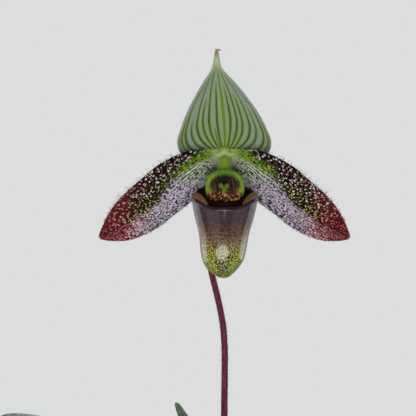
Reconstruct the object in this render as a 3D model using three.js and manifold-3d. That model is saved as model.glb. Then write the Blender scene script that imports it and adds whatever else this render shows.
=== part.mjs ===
// A slipper orchid in flower, growing in a plain clay pot. Millimetres, +Z up.
// The pot stands on the plane Z = 0 with its axis on Z, and the flower faces -Y.
// The flower's own parts are drawn in the flower's frame: its origin is where the
// sepals and petals meet, X is to the right as one looks at the flower, -Y is forward.
import * as THREE from "three";
import { mergeVertices } from "three/addons/utils/BufferGeometryUtils.js";
import Module from "manifold-3d";

const wasm = await Module();
wasm.setup();

// Pot
const POT_HEIGHT = 92;
const POT_FOOT_RADIUS = 38;
const POT_TOP_RADIUS = 50;
const POT_WALL = 5;
const POT_FLOOR = 7;
const BAND_BOTTOM = 71;
const BAND_PROUD = 3;
const POT_EASE = 1.4;
const DRAIN_RADIUS = 5;
const DRAIN_RING = 21;
const DRAINS = 3;
const POT_SIDES = 40;

// Potting mix and rootstock
const GAP = 0.3;
const MIX_TOP = 78;
const WELL_RADIUS = 12;
const WELL_BOTTOM = 42;
const CHIPS = 46;
const CHIP_LENGTH = [8, 15];
const CHIP_WIDTH = [5, 10];
const CHIP_HEIGHT = [3, 5.5];
const CHIP_LIFT = [0.1, 0.4];
const CHIP_TILT = 0.55;
const CHIP_ROUGHNESS = 0.16;
const CHIP_SEED = 11;
const STOCK_TOP = 73.6;
const STOCK_BOTTOM = 60;
const STOCK_RADIUS = 10.3;
const STOCK_SIDES = 16;
const ROOTS = 6;
const ROOT_RADIUS = 1.7;
const ROOT_TIP_RADIUS = 1.1;
const ROOT_RING = 9;

// Leaves, oldest first. Turn is the compass angle from +X in degrees, seat is the
// radius at which the sheathing base wraps the stem, and stand is how far the base rises
// before the leaf leans out. Leave and droop are the leaf's angles from upright in
// degrees, where it leaves the stem and at its tip.
const LEAF_FOOT = 74;
const LEAF_THICKNESS = 0.9;
const LEAF_SHEATH_WRAP = 1.45;
const LEAF_KEEL = 0.36;
const LEAF_BLADE_RADIUS = 83;
const LEAF_TIP_HALF_WIDTH = 0.9;
const LEAF_TIP_START = 0.5;
const LEAF_WAVE_DEPTH = 1.2;
const LEAF_WAVES = 2.2;
const LEAVES = [
  { turn: -20, seat: 9.8, stand: 5, length: 146, width: 43, leave: 36, droop: 108, wave: 0.4 },
  { turn: 196, seat: 8.5, stand: 8, length: 152, width: 44, leave: 32, droop: 99, wave: 2.1 },
  { turn: 17, seat: 7.2, stand: 11, length: 146, width: 42, leave: 25, droop: 84, wave: 3.6 },
  { turn: 164, seat: 5.9, stand: 14, length: 140, width: 40, leave: 22, droop: 76, wave: 5.0 },
  { turn: -4, seat: 4.6, stand: 17, length: 118, width: 36, leave: 16, droop: 64, wave: 1.2 },
  { turn: 170, seat: 3.3, stand: 21, length: 108, width: 28, leave: 4, droop: 18, wave: 2.7 },
];

// Flower
const FLOWER_AT = [0.2, -14, 275];
const SEPAL_THICKNESS = 0.8;
const PETAL_THICKNESS = 0.9;
const POUCH_THICKNESS = 0.8;

// Flower stem, in the pot's frame: upright, then leaning aside behind the flower.
const SCAPE_PATH = [
  [0, 0, 74],
  [0.1, 1.2, 106],
  [0.2, 3.2, 140],
  [0.3, 5, 172],
  [0.5, 6, 190],
  [0.5, 6.5, 200],
  [0, 7, 208],
  [-1.1, 7.3, 215],
  [-2.7, 7.5, 222],
  [-4.3, 7.6, 228.5],
  [-5.5, 7.7, 234.5],
  [-5.9, 7.6, 241],
];
const SCAPE_FOOT_RADIUS = 1.45;
const SCAPE_TOP_RADIUS = 1.15;

// Ovary, in the flower's frame: from the top of the stem forward to the flower.
const OVARY_PATH = [
  [-6.1, 21.6, -33.3],
  [-5.7, 21.6, -25],
  [-4.6, 19.6, -15],
  [-2.6, 13.6, -6.2],
  [-0.4, 5.6, -1.8],
  [0, 0.6, -1],
];
const OVARY_RADII = [1.3, 1.65, 2.15, 2.2, 2.1, 2.9];
const OVARY_RIB = 0.07;

// Bract round the ovary's foot: open on the side that is turned away from BRACT_BACK.
const BRACT_FOOT = [-6.1, 21.6, -38];
const BRACT_BACK = [0.2, 0.98, 0];
const BRACT_RADII = [2.15, 3.25];
const BRACT_WRAP = 2.6;
const BRACT_TIP_WRAP = 0.12;
const BRACT_LENGTH_SHARE = 0.9;
const BRACT_THICKNESS = 0.6;

// Dorsal sepal, from its base to its tip: the midline and the margins.
const DORSAL_MID_Y = [1.6, 2.6, 3.4, 3.6, 3.4, 2.8, 2.0, 0.8, -0.6, -1.8, -2.8, -3.8];
const DORSAL_MID_Z = [2.5, 5.5, 9, 12.8, 16.8, 20.8, 24.8, 28.4, 31.2, 33.4, 35.6, 37.6];
const DORSAL_HALF_WIDTH = [2.2, 10.5, 16, 17.5, 16, 13.4, 9.9, 6, 2.3, 1.1, 0.8, 0.45];
const DORSAL_EDGE_Y = [1.6, 4, 4.6, 4, 2.8, 1.6, 0.6, -0.4, -1.4, -2.2, -3, -3.8];
const DORSAL_EDGE_Z = [2.4, -1.8, -0.6, 3.6, 8.6, 14.2, 19.8, 25.2, 29.9, 33, 35.6, 37.5];
const DORSAL_LEAN = 2.9;
const DORSAL_LEAN_HEIGHT = 31;
const DORSAL_LEAN_POWER = 1.8;

// Synsepal, from its base to its tip.
const SYNSEPAL_MID_Y = [1, 2.2, 3, 3.2, 3, 2.6, 2.4, 2.6, 3];
const SYNSEPAL_Z = [-5.2, -7.4, -11, -15.5, -20.5, -25.5, -30, -34, -37.5];
const SYNSEPAL_HALF_WIDTH = [2, 3.6, 5.4, 7.2, 8.5, 8.4, 6.4, 3.3, 0.5];
const SYNSEPAL_CUP = [0, 0.5, 1.2, 2, 2.3, 1.9, 1.2, 0.5, 0];

// Right petal, from its base to its tip: the midrib and the two margins as [X, Y, Z].
const PETAL_MID = [
  [3.35, 0.6, -1.3],
  [7.5, -3, -5],
  [13, -4.5, -9.9],
  [18.3, -5, -14.2],
  [23.5, -4.8, -18.5],
  [28.7, -4, -22.3],
  [34, -2.8, -25.2],
  [39, -1.4, -27.6],
  [43.2, 0.2, -29.9],
  [46.4, 1.4, -31.9],
];
const PETAL_UPPER = [
  [3.4, 0.9, 0.8],
  [9.5, -1.4, 1.1],
  [17.5, -1.3, -1.2],
  [24.6, -1.8, -5],
  [30.8, -2.4, -10.2],
  [36, -2.6, -14.7],
  [40.4, -2.2, -19.4],
  [43.4, -1.4, -24.2],
  [45.2, 0, -28.2],
  [46.6, 1.4, -31.5],
];
const PETAL_LOWER = [
  [3.4, 0.2, -3.4],
  [6.2, -3.6, -7.4],
  [10.4, -5.9, -12.3],
  [12.6, -6.8, -17.3],
  [17.8, -6.6, -22.7],
  [23.6, -5.5, -27.3],
  [29.5, -4, -30.6],
  [35.6, -2.2, -32.6],
  [41.3, -0.2, -32.8],
  [46.2, 1.4, -32.2],
];
const PETAL_SWELL = 0.7;
const PETAL_RIPPLE = 0.45;
const PETAL_RIPPLES = 4.5;

// Pouch: level sections from the toe up, as [Z, half width, front Y, back Y, middle X].
const POUCH_SECTIONS = [
  [-45.5, 0, -23, -23, -0.6],
  [-44.2, 3.2, -26, -19.4, -0.8],
  [-42, 5.6, -27.6, -16.2, -1],
  [-39.3, 7.25, -28.4, -13.8, -0.8],
  [-35.5, 8.15, -29, -11.4, -0.65],
  [-30, 8.95, -28.9, -9.2, -0.4],
  [-24.6, 10.4, -28, -7.4, -0.25],
  [-20.2, 11.4, -27, -6.4, -0.15],
  [-16.6, 11.8, -26.2, -5.8, -0.1],
];
const POUCH_AROUND = 30;
const POUCH_WALL_ROWS = 9;
const POUCH_RIM_ROWS = 5;
const POUCH_FRONT_REACH = 0.83;
const POUCH_SIDE_REACH = 0.95;
// The rim's course past the wall as [inward, up]: the plain lip in front, the side lobes
// folded in over the opening, and the claw that rises behind to the flower's centre.
const LIP_COURSE = [
  [0, 0],
  [-0.1, 0.4],
  [-0.35, 0.8],
];
const LOBE_COURSE = [
  [0, 0],
  [0.1, 1.5],
  [0.9, 2.5],
  [2.1, 1.9],
  [3.7, 0.2],
  [5.4, -1.8],
];
const CLAW_COURSE = [
  [0, 0],
  [-0.1, 3.1],
  [-0.7, 6.3],
  [-1.7, 8.4],
  [-2.8, 9.6],
];
const CLAW_NARROWING = 0.5;

// Column and the shield on its end
const COLUMN_PATH = [
  [0, -0.9, -2.5],
  [0, -4.4, -3.8],
  [0, -8.4, -7],
  [0, -12.2, -11.8],
];
const COLUMN_RADII = [2, 2.2, 2.2, 2.6];
const SHIELD_AT = [0, -13.6, -12.6];
const SHIELD_HALF_WIDTH = 7.15;
const SHIELD_RISE = 6.2;
const SHIELD_DROP = 6;
const SHIELD_THICKNESS = 1.1;
const SHIELD_LEAN = 0.16;
const SHIELD_RIM_SHARE = 0.84;
const SHIELD_RIM_HEIGHT = 1.7;
const SHIELD_BOSS_SHARE = 0.2;
const SHIELD_BOSS_HEIGHT = 1.3;
const SHIELD_TOOTH_HEIGHT = 0.7;
const SHIELD_BOXINESS = 3.2;
const SHIELD_NOTCH_AT = 1.6;
const SHIELD_NOTCH_DEPTH = 0.8;
const ANTHER_RADII = [1.5, 1.5, 1.5];
const ANTHER_AT = [3.1, -8.6, -8.6];
const STIGMA_AT = [0, -9.4, -11.2];
const STIGMA_RADII = [2.2, 2, 1.1];

const COLOURS = {
  clay: [0xb8663f, 0.85],
  mix: [0x5a3d28, 0.95],
  root: [0x9c8b66, 0.9],
  leaf: [0x2f5a2a, 0.5],
  scape: [0x5a1f33, 0.7],
  bract: [0x6b7a3c, 0.6],
  sepal: [0xc9d2c0, 0.55],
  petal: [0x7a3040, 0.5],
  pouch: [0x6e4a48, 0.3],
  column: [0x8fb02a, 0.4],
};

// Numbers and curves
const radians = THREE.MathUtils.degToRad;
const mix = THREE.MathUtils.lerp;

/** Rises smoothly from 0 at low to 1 at high. */
function rise(low, high, x) {
  return THREE.MathUtils.smoothstep(x, low, high);
}

/** Falls smoothly from 1 at low to 0 at high. */
function fall(low, high, x) {
  return 1 - rise(low, high, x);
}

/** A bump of height 1 at middle, about as wide as width. */
function bump(middle, width, x) {
  return Math.exp(-(((x - middle) / width) ** 2));
}

/** Seeded random numbers from 0 to 1. */
function randomFrom(seed) {
  let state = seed;
  return () => {
    state = (state + 0x6d2b79f5) | 0;
    let t = Math.imul(state ^ (state >>> 15), 1 | state);
    t = (t + Math.imul(t ^ (t >>> 7), 61 | t)) ^ t;
    return ((t ^ (t >>> 14)) >>> 0) / 4294967296;
  };
}

/** The values at t, from 0 to 1, on a smooth curve through rows of numbers. */
function along(rows, t) {
  const last = rows.length - 1;
  const place = Math.min(Math.max(t, 0), 1) * last;
  const i = Math.min(Math.floor(place), last - 1);
  const f = place - i;
  const before = (k) => (i > 0 ? rows[i - 1][k] : 2 * rows[0][k] - rows[1][k]);
  const after = (k) => (i + 2 <= last ? rows[i + 2][k] : 2 * rows[last][k] - rows[last - 1][k]);
  return rows[i].map((a, k) => {
    const b = rows[i + 1][k];
    const slopeA = (b - before(k)) / 2;
    const slopeB = (after(k) - a) / 2;
    return (
      a +
      slopeA * f +
      (3 * (b - a) - 2 * slopeA - slopeB) * f * f +
      (2 * (a - b) + slopeA + slopeB) * f * f * f
    );
  });
}

/** The value at t on a smooth curve through single numbers. */
function valueAt(numbers, t) {
  return along(
    numbers.map((n) => [n]),
    t,
  )[0];
}

/** A three.js curve through points given as [X, Y, Z]. */
function pathThrough(points) {
  return new THREE.CatmullRomCurve3(points.map((p) => new THREE.Vector3(...p)));
}

// Solids
/** A geometry from vertices and triangles. */
function geometryOf(vertices, triangles) {
  const geometry = new THREE.BufferGeometry();
  geometry.setAttribute(
    "position",
    new THREE.Float32BufferAttribute(
      vertices.flatMap((p) => [p.x, p.y, p.z]),
      3,
    ),
  );
  geometry.setIndex(triangles);
  geometry.computeVertexNormals();
  return geometry;
}

/** A geometry with positions alone, its corners shared by the faces that meet there. */
function welded(geometry) {
  const bare = geometry.clone();
  bare.deleteAttribute("normal");
  bare.deleteAttribute("uv");
  return mergeVertices(bare, 1e-4);
}

/** A geometry as a solid that can be joined and cut. */
function solidOf(geometry) {
  const { attributes, index } = welded(geometry);
  return new wasm.Manifold(
    new wasm.Mesh({
      numProp: 3,
      vertProperties: attributes.position.array,
      triVerts: new Uint32Array(index.array),
    }),
  );
}

/** A joined or cut solid as a geometry. */
function geometryFrom(solid) {
  const { vertProperties, triVerts } = solid.getMesh();
  const vertices = [];
  for (let i = 0; i < vertProperties.length; i += 3)
    vertices.push(new THREE.Vector3().fromArray(vertProperties, i));
  return geometryOf(vertices, Array.from(triVerts));
}

/** A solid's largest skin, without pockets sealed in it or crumbs beside it. */
function wholeOf(solid) {
  return solid.decompose().reduce((a, b) => (a.volume() > b.volume() ? a : b));
}

/** The way a surface(u, v) faces, from its slopes along u and v. */
function facing(surface, u, v) {
  const TINY = 1e-3;
  const alongU = surface(Math.min(u + TINY, 1), v).sub(surface(Math.max(u - TINY, -1), v));
  const alongV = surface(u, Math.min(v + TINY, 1)).sub(surface(u, Math.max(v - TINY, 0)));
  return alongU.cross(alongV).normalize();
}

/** A closed sheet of some thickness about surface(u, v), u from -1 to 1, v from 0 to 1. */
function sheet(surface, thickness, across, lengthwise) {
  const columns = across + 1;
  const front = [];
  const back = [];
  for (let j = 0; j <= lengthwise; j++)
    for (let i = 0; i <= across; i++) {
      const u = -1 + (2 * i) / across;
      const v = j / lengthwise;
      const offset = facing(surface, u, v).multiplyScalar(thickness / 2);
      front.push(surface(u, v).add(offset));
      back.push(surface(u, v).sub(offset));
    }
  const shift = front.length;
  const triangles = [];
  // Both faces are split along the same diagonal, which is mirrored about the midline.
  for (let j = 0; j < lengthwise; j++)
    for (let i = 0; i < across; i++) {
      const a = j * columns + i;
      const [b, c, d] = [a + 1, a + columns + 1, a + columns];
      const halves = i < across / 2 ? [[a, b, d], [b, c, d]] : [[a, b, c], [a, c, d]];
      for (const [p, q, r] of halves) {
        triangles.push(p, q, r);
        triangles.push(p + shift, r + shift, q + shift);
      }
    }
  const rim = (a, b) => triangles.push(a + shift, b + shift, b, a + shift, b, a);
  for (let i = 0; i < across; i++) {
    rim(i, i + 1);
    rim(lengthwise * columns + i + 1, lengthwise * columns + i);
  }
  for (let j = 0; j < lengthwise; j++) {
    rim((j + 1) * columns, j * columns);
    rim(j * columns + across, (j + 1) * columns + across);
  }
  return geometryOf([...front, ...back], triangles);
}

/** A closed rod along a path. radius(t, side) is its radius at t on that side. */
function rod(path, radius, sides, steps) {
  const frames = path.computeFrenetFrames(steps, false);
  const vertices = [];
  for (let k = 0; k <= steps; k++) {
    const centre = path.getPointAt(k / steps);
    for (let i = 0; i < sides; i++) {
      const angle = (2 * Math.PI * i) / sides;
      const r = radius(k / steps, i);
      vertices.push(
        centre
          .clone()
          .addScaledVector(frames.normals[k], r * Math.cos(angle))
          .addScaledVector(frames.binormals[k], r * Math.sin(angle)),
      );
    }
  }
  const foot = vertices.push(path.getPointAt(0)) - 1;
  const head = vertices.push(path.getPointAt(1)) - 1;
  const triangles = [];
  for (let i = 0; i < sides; i++) {
    const next = (i + 1) % sides;
    triangles.push(foot, next, i);
    triangles.push(head, steps * sides + i, steps * sides + next);
    for (let k = 0; k < steps; k++) {
      const [a, b] = [k * sides + i, k * sides + next];
      triangles.push(a, b, b + sides, a, b + sides, a + sides);
    }
  }
  return geometryOf(vertices, triangles);
}

/** A ball stretched to three radii, at a place. */
function ball(radii, at) {
  const BALL_SIDES = 8;
  return new THREE.SphereGeometry(1, BALL_SIDES, BALL_SIDES / 2)
    .scale(...radii)
    .translate(...at);
}

/** A solid of revolution about Z from [radius, Z] pairs. */
function turned(profile, sides) {
  return new THREE.LatheGeometry(
    profile.map((p) => new THREE.Vector2(...p)),
    sides,
  ).rotateX(Math.PI / 2);
}

// Pot
/** The pot's inner radius at a height. */
function potInside(z) {
  return mix(POT_FOOT_RADIUS, POT_TOP_RADIUS, z / POT_HEIGHT) - POT_WALL;
}

/** Tapering clay pot with a band round its rim and drain holes round its middle. */
function makePot() {
  const outside = (z) => potInside(z) + POT_WALL;
  const bandRadius = POT_TOP_RADIUS + BAND_PROUD;
  const profile = [
    [0, 0],
    [POT_FOOT_RADIUS - POT_EASE, 0],
    [outside(POT_EASE), POT_EASE],
    [outside(BAND_BOTTOM), BAND_BOTTOM],
    [bandRadius - POT_EASE, BAND_BOTTOM + POT_EASE / 2],
    [bandRadius - POT_EASE / 2, BAND_BOTTOM + 2 * POT_EASE],
    [bandRadius, POT_HEIGHT - POT_EASE],
    [bandRadius - POT_EASE, POT_HEIGHT],
    [potInside(POT_HEIGHT) + POT_EASE, POT_HEIGHT],
    [potInside(POT_HEIGHT), POT_HEIGHT - POT_EASE],
    [potInside(POT_FLOOR + POT_EASE), POT_FLOOR + POT_EASE],
    [potInside(POT_FLOOR) - POT_EASE, POT_FLOOR],
    [0, POT_FLOOR],
  ];
  const DRAIN_SIDES = 16;
  let pot = solidOf(turned(profile, POT_SIDES));
  for (let k = 0; k < DRAINS; k++) {
    const angle = (2 * Math.PI * k) / DRAINS + Math.PI / 2;
    const hole = new THREE.CylinderGeometry(DRAIN_RADIUS, DRAIN_RADIUS, 3 * POT_FLOOR, DRAIN_SIDES)
      .rotateX(Math.PI / 2)
      .translate(DRAIN_RING * Math.cos(angle), DRAIN_RING * Math.sin(angle), POT_FLOOR / 2);
    pot = pot.subtract(solidOf(hole));
  }
  return geometryFrom(pot);
}

// Potting mix
/** One rough bark chip of a size, its corners pushed about, tilted and turned. */
function makeChip(size, random) {
  const chip = welded(new THREE.BoxGeometry(...size));
  const either = (amount) => amount * (2 * random() - 1);
  const corners = chip.attributes.position;
  for (let i = 0; i < corners.array.length; i++)
    corners.array[i] *= 1 + either(CHIP_ROUGHNESS);
  return chip
    .rotateX(either(CHIP_TILT))
    .rotateY(either(CHIP_TILT))
    .rotateZ(either(Math.PI));
}

/** Bark mix that fills the pot, with chips over its top and a plain well for the plant. */
function makeMix() {
  const wall = (z) => potInside(z) - GAP;
  const floor = POT_FLOOR + GAP;
  const foot = potInside(POT_FLOOR) - POT_EASE - GAP;
  const filling = (top) => [
    [0, floor],
    [foot, floor],
    [wall(floor + POT_EASE), floor + POT_EASE],
    [wall(top), top],
    [WELL_RADIUS, top],
    [WELL_RADIUS, WELL_BOTTOM],
    [0, WELL_BOTTOM],
  ];
  let mixture = solidOf(turned(filling(MIX_TOP), POT_SIDES));
  const random = randomFrom(CHIP_SEED);
  const between = ([low, high]) => mix(low, high, random());
  const GOLDEN_TURN = Math.PI * (3 - Math.sqrt(5));
  const inmost = WELL_RADIUS + CHIP_LENGTH[1] / 2;
  const outmost = wall(MIX_TOP) - CHIP_LENGTH[0] / 2;
  for (let k = 0; k < CHIPS; k++) {
    const size = [CHIP_LENGTH, CHIP_WIDTH, CHIP_HEIGHT].map(between);
    const r = Math.sqrt(mix(inmost ** 2, outmost ** 2, (k + 0.5) / CHIPS));
    const angle = GOLDEN_TURN * k;
    const z = MIX_TOP + size[2] * between(CHIP_LIFT);
    const chip = makeChip(size, random).translate(r * Math.cos(angle), r * Math.sin(angle), z);
    mixture = mixture.add(solidOf(chip));
  }
  const room = solidOf(turned(filling(POT_HEIGHT), POT_SIDES));
  return geometryFrom(wholeOf(mixture.intersect(room)));
}

/** Short rootstock with its fleshy roots, standing in the well of the mix. */
function makeRootstock() {
  const EASE = 2;
  const stock = turned(
    [
      [0, STOCK_BOTTOM],
      [STOCK_RADIUS - EASE, STOCK_BOTTOM],
      [STOCK_RADIUS, STOCK_BOTTOM + EASE],
      [STOCK_RADIUS, STOCK_TOP - EASE / 2],
      [STOCK_RADIUS - EASE / 2, STOCK_TOP],
      [0, STOCK_TOP],
    ],
    STOCK_SIDES,
  );
  let rootstock = solidOf(stock);
  for (let k = 0; k < ROOTS; k++) {
    const turn = (2 * Math.PI * k) / ROOTS;
    const at = (r, sweep, z) => [r * Math.cos(turn + sweep), r * Math.sin(turn + sweep), z];
    const path = pathThrough([
      at(ROOT_RING / 2, 0, STOCK_BOTTOM + EASE),
      at(ROOT_RING, 0.2, STOCK_BOTTOM - 5),
      at(ROOT_RING, 0.5, WELL_BOTTOM + 5),
      at(ROOT_RING, 0.5, WELL_BOTTOM + GAP),
    ]);
    const radius = (t) => mix(ROOT_RADIUS, ROOT_TIP_RADIUS, t);
    rootstock = rootstock.add(solidOf(rod(path, radius, 6, 6)));
  }
  return geometryFrom(rootstock);
}

// Leaves
/** The course of a leaf's midrib as [distance from the pot's axis, Z], foot to tip. */
function leafSpine(lean, seat, length) {
  const STEPS = 80;
  const spine = [[seat, LEAF_FOOT]];
  for (let k = 0; k < STEPS; k++) {
    const angle = lean((k + 0.5) / STEPS);
    const [r, z] = spine[k];
    spine.push([r + (Math.sin(angle) * length) / STEPS, z + (Math.cos(angle) * length) / STEPS]);
  }
  return spine;
}

/** Half the width of a leaf's blade at v: narrow at its foot, with a pointed tip. */
function bladeHalfWidth(width, v) {
  const toTip = Math.max(0, (v - LEAF_TIP_START) / (1 - LEAF_TIP_START));
  const full = (width / 2) * mix(0.74, 1, rise(0.12, LEAF_TIP_START, v));
  return Math.max(LEAF_TIP_HALF_WIDTH, full * Math.pow(1 - Math.pow(toTip, 2.7), 0.62));
}

/** A leaf's surface: a base that wraps the stem, opening to a keeled, arching strap. */
function leafSurface({ turn, seat, stand, length, width, leave, droop, wave }) {
  const start = stand / length;
  const lean = (v) =>
    radians(leave) * rise(start - 0.03, start + 0.14, v) +
    radians(droop - leave) * Math.pow(Math.max(0, v - start) / (1 - start), 1.2);
  const spine = leafSpine(lean, seat, length);
  const out = new THREE.Vector3(Math.cos(radians(turn)), Math.sin(radians(turn)), 0);
  const side = new THREE.Vector3(-out.y, out.x, 0);
  const up = new THREE.Vector3(0, 0, 1);
  return (u, v) => {
    const [r, z] = along(spine, v);
    const angle = lean(v);
    const open = rise(start / 2, start + 0.22, v);
    const half = mix(seat * LEAF_SHEATH_WRAP, bladeHalfWidth(width, v), open);
    const bow = mix(1 / seat, 1 / LEAF_BLADE_RADIUS, Math.sqrt(open));
    const across = Math.sin(bow * half * u) / bow;
    const hollow = (1 - Math.cos(bow * half * u)) / bow;
    const keel = LEAF_KEEL * rise(start, start + 0.2, v) * mix(1, 0.5, rise(0.4, 1, v));
    const fold = keel * (Math.hypot(across, 1) - 1);
    const ripple = LEAF_WAVE_DEPTH * Math.sin(2 * Math.PI * LEAF_WAVES * v + wave) * u * u;
    const depth = hollow + fold + ripple * rise(start + 0.1, 0.5, v) * fall(0.8, 1, v);
    const inward = out.clone().multiplyScalar(-Math.cos(angle)).addScaledVector(up, Math.sin(angle));
    return out
      .clone()
      .multiplyScalar(r)
      .addScaledVector(up, z)
      .addScaledVector(side, across)
      .addScaledVector(inward, depth);
  };
}

// Flower stem
/** Scape: the bare stem that carries the flower. */
function makeScape() {
  const radius = (t) => mix(SCAPE_FOOT_RADIUS, SCAPE_TOP_RADIUS, t);
  return rod(pathThrough(SCAPE_PATH), radius, 8, 22);
}

/** Ovary: a curved, six-ribbed rod that widens where the flower sits on it. */
function makeOvary() {
  const rib = (t, side) => (side % 2 ? -OVARY_RIB : OVARY_RIB) * fall(0.8, 1, t);
  const radius = (t, side) => valueAt(OVARY_RADII, t) * (1 + rib(t, side));
  return rod(pathThrough(OVARY_PATH), radius, 12, 15);
}

/** Bract: a pointed leaf rolled round the foot of the ovary. */
function makeBract() {
  const stalk = pathThrough([BRACT_FOOT, ...OVARY_PATH.slice(0, 3)]);
  const back = new THREE.Vector3(...BRACT_BACK).normalize();
  const surface = (u, v) => {
    const centre = stalk.getPointAt(v * BRACT_LENGTH_SHARE);
    const up = stalk.getTangentAt(v * BRACT_LENGTH_SHARE);
    const out = back.clone().addScaledVector(up, -back.dot(up)).normalize();
    const side = up.clone().cross(out);
    const wrap = BRACT_WRAP * (1 - Math.pow(v, 1.6)) + BRACT_TIP_WRAP;
    const radius = mix(...BRACT_RADII, rise(0, 0.9, v));
    return centre
      .addScaledVector(out, radius * Math.cos(wrap * u))
      .addScaledVector(side, radius * Math.sin(wrap * u));
  };
  return sheet(surface, BRACT_THICKNESS, 10, 9);
}

// Sepals and petals
/** Broad, pointed dorsal sepal, hooded at its tip and swept back at its lower sides. */
function dorsalSurface(u, v) {
  const share = Math.pow(Math.abs(u), 1.7);
  const y = mix(valueAt(DORSAL_MID_Y, v), valueAt(DORSAL_EDGE_Y, v), share);
  const z = mix(valueAt(DORSAL_MID_Z, v), valueAt(DORSAL_EDGE_Z, v), share);
  const height = Math.min(Math.max(z / DORSAL_LEAN_HEIGHT, 0), 1);
  const lean = -DORSAL_LEAN * Math.pow(height, DORSAL_LEAN_POWER);
  return new THREE.Vector3(u * valueAt(DORSAL_HALF_WIDTH, v) + lean, y, z);
}

/** Synsepal: the two lower sepals grown together, cupped behind the pouch. */
function synsepalSurface(u, v) {
  const BASE_ARCH = 1.5;
  return new THREE.Vector3(
    u * valueAt(SYNSEPAL_HALF_WIDTH, v),
    valueAt(SYNSEPAL_MID_Y, v) - valueAt(SYNSEPAL_CUP, v) * u * u,
    valueAt(SYNSEPAL_Z, v) + BASE_ARCH * u * u * (1 - v),
  );
}

/** Petal, creased along its midrib, on the right for side 1 and on the left for side -1. */
function petalSurface(side) {
  return (u, v) => {
    const edge = along(side * u < 0 ? PETAL_UPPER : PETAL_LOWER, v);
    const share = Math.abs(u);
    const [x, y, z] = along(PETAL_MID, v).map((middle, k) => mix(middle, edge[k], share));
    const blade = rise(0, 0.25, v) * fall(0.8, 1, v);
    const swell = PETAL_SWELL * 4 * share * (1 - share);
    const ripple = PETAL_RIPPLE * Math.sin(2 * Math.PI * PETAL_RIPPLES * v) * share ** 3;
    return new THREE.Vector3(side * x, y + (ripple - swell) * blade, z);
  };
}

// Pouch
/** The pouch's surface at a turn from the front, from the toe at 0 past the rim at 1 to 2. */
function pouchSurface(turn, height) {
  const away = THREE.MathUtils.radToDeg(Math.abs(turn));
  const lobe = rise(44, 78, away) * fall(118, 150, away);
  const claw = rise(138, 166, away);
  const lip = 1 - lobe - claw;
  const sideReach = mix(POUCH_FRONT_REACH, POUCH_SIDE_REACH, rise(15, 85, away));
  const reach = mix(sideReach, 1, rise(120, 160, away));
  const [z, half, front, back, middleX] = along(POUCH_SECTIONS, reach * Math.min(height, 1));
  const past = Math.max(height - 1, 0);
  const lobeCourse = along(LOBE_COURSE, past);
  const clawCourse = along(CLAW_COURSE, past);
  const [inward, up] = along(LIP_COURSE, past).map(
    (value, k) => value * lip + lobeCourse[k] * lobe + clawCourse[k] * claw,
  );
  const narrow = 1 - CLAW_NARROWING * claw * past;
  return new THREE.Vector3(
    middleX + (half - inward) * narrow * Math.sin(turn),
    (front + back) / 2 - ((back - front) / 2 - inward) * Math.cos(turn),
    z + up,
  );
}

/** Hollow pouch with its side lobes folded in over the opening. */
function makePouch() {
  const rows = POUCH_WALL_ROWS + POUCH_RIM_ROWS;
  const heightOf = (j) =>
    Math.min(j / POUCH_WALL_ROWS, 1) + Math.max(j - POUCH_WALL_ROWS, 0) / POUCH_RIM_ROWS;
  const unrolled = (u, v) => pouchSurface(Math.PI * u, 2 * v);
  const outer = [];
  const inner = [];
  for (let j = 1; j <= rows; j++)
    for (let i = 0; i < POUCH_AROUND; i++) {
      const u = (2 * i) / POUCH_AROUND - 1;
      const v = heightOf(j) / 2;
      outer.push(unrolled(u, v));
      inner.push(unrolled(u, v).addScaledVector(facing(unrolled, u, v), -POUCH_THICKNESS));
    }
  const shift = outer.length;
  const toe = pouchSurface(0, 0);
  const toeInside = toe.clone().add(new THREE.Vector3(0, 0, POUCH_THICKNESS));
  const triangles = [];
  const toeOut = 2 * shift;
  const toeIn = toeOut + 1;
  for (let i = 0; i < POUCH_AROUND; i++) {
    const next = (i + 1) % POUCH_AROUND;
    triangles.push(toeOut, next, i);
    triangles.push(toeIn, shift + i, shift + next);
    for (let j = 0; j < rows - 1; j++) {
      const [a, b] = [j * POUCH_AROUND + i, j * POUCH_AROUND + next];
      const [c, d] = [b + POUCH_AROUND, a + POUCH_AROUND];
      triangles.push(a, b, c, a, c, d);
      triangles.push(a + shift, c + shift, b + shift, a + shift, d + shift, c + shift);
    }
    const [a, b] = [(rows - 1) * POUCH_AROUND + i, (rows - 1) * POUCH_AROUND + next];
    triangles.push(a, b, b + shift, a, b + shift, a + shift);
  }
  return geometryOf([...outer, ...inner, toe, toeInside], triangles);
}

// Column
/** How far the shield's face stands forward at a share of its radius and an angle. */
function shieldRelief(share, angle) {
  const upper = rise(-0.55, 0.1, Math.sin(angle));
  const rim = SHIELD_RIM_HEIGHT * bump(SHIELD_RIM_SHARE, 0.15, share) * upper;
  const boss = SHIELD_BOSS_HEIGHT * bump(0, SHIELD_BOSS_SHARE, share);
  const aside = Math.sqrt(Math.abs(Math.cos(angle)));
  return rim + boss + SHIELD_TOOTH_HEIGHT * rise(0.2, 0.9, share) * aside * (1 - upper);
}

/** The shield's radius at an angle: round above, boxy and notched below. */
function shieldRadius(angle) {
  const across = Math.abs(Math.cos(angle));
  const upright = Math.abs(Math.sin(angle));
  if (Math.sin(angle) >= 0)
    return 1 / Math.hypot(across / SHIELD_HALF_WIDTH, upright / SHIELD_RISE);
  const boxy = Math.pow(
    (across / SHIELD_HALF_WIDTH) ** SHIELD_BOXINESS + (upright / SHIELD_DROP) ** SHIELD_BOXINESS,
    -1 / SHIELD_BOXINESS,
  );
  const notch = SHIELD_NOTCH_DEPTH * bump(SHIELD_NOTCH_AT, 0.7, across * boxy);
  return boxy - notch * rise(0.6, 0.95, upright);
}

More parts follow.
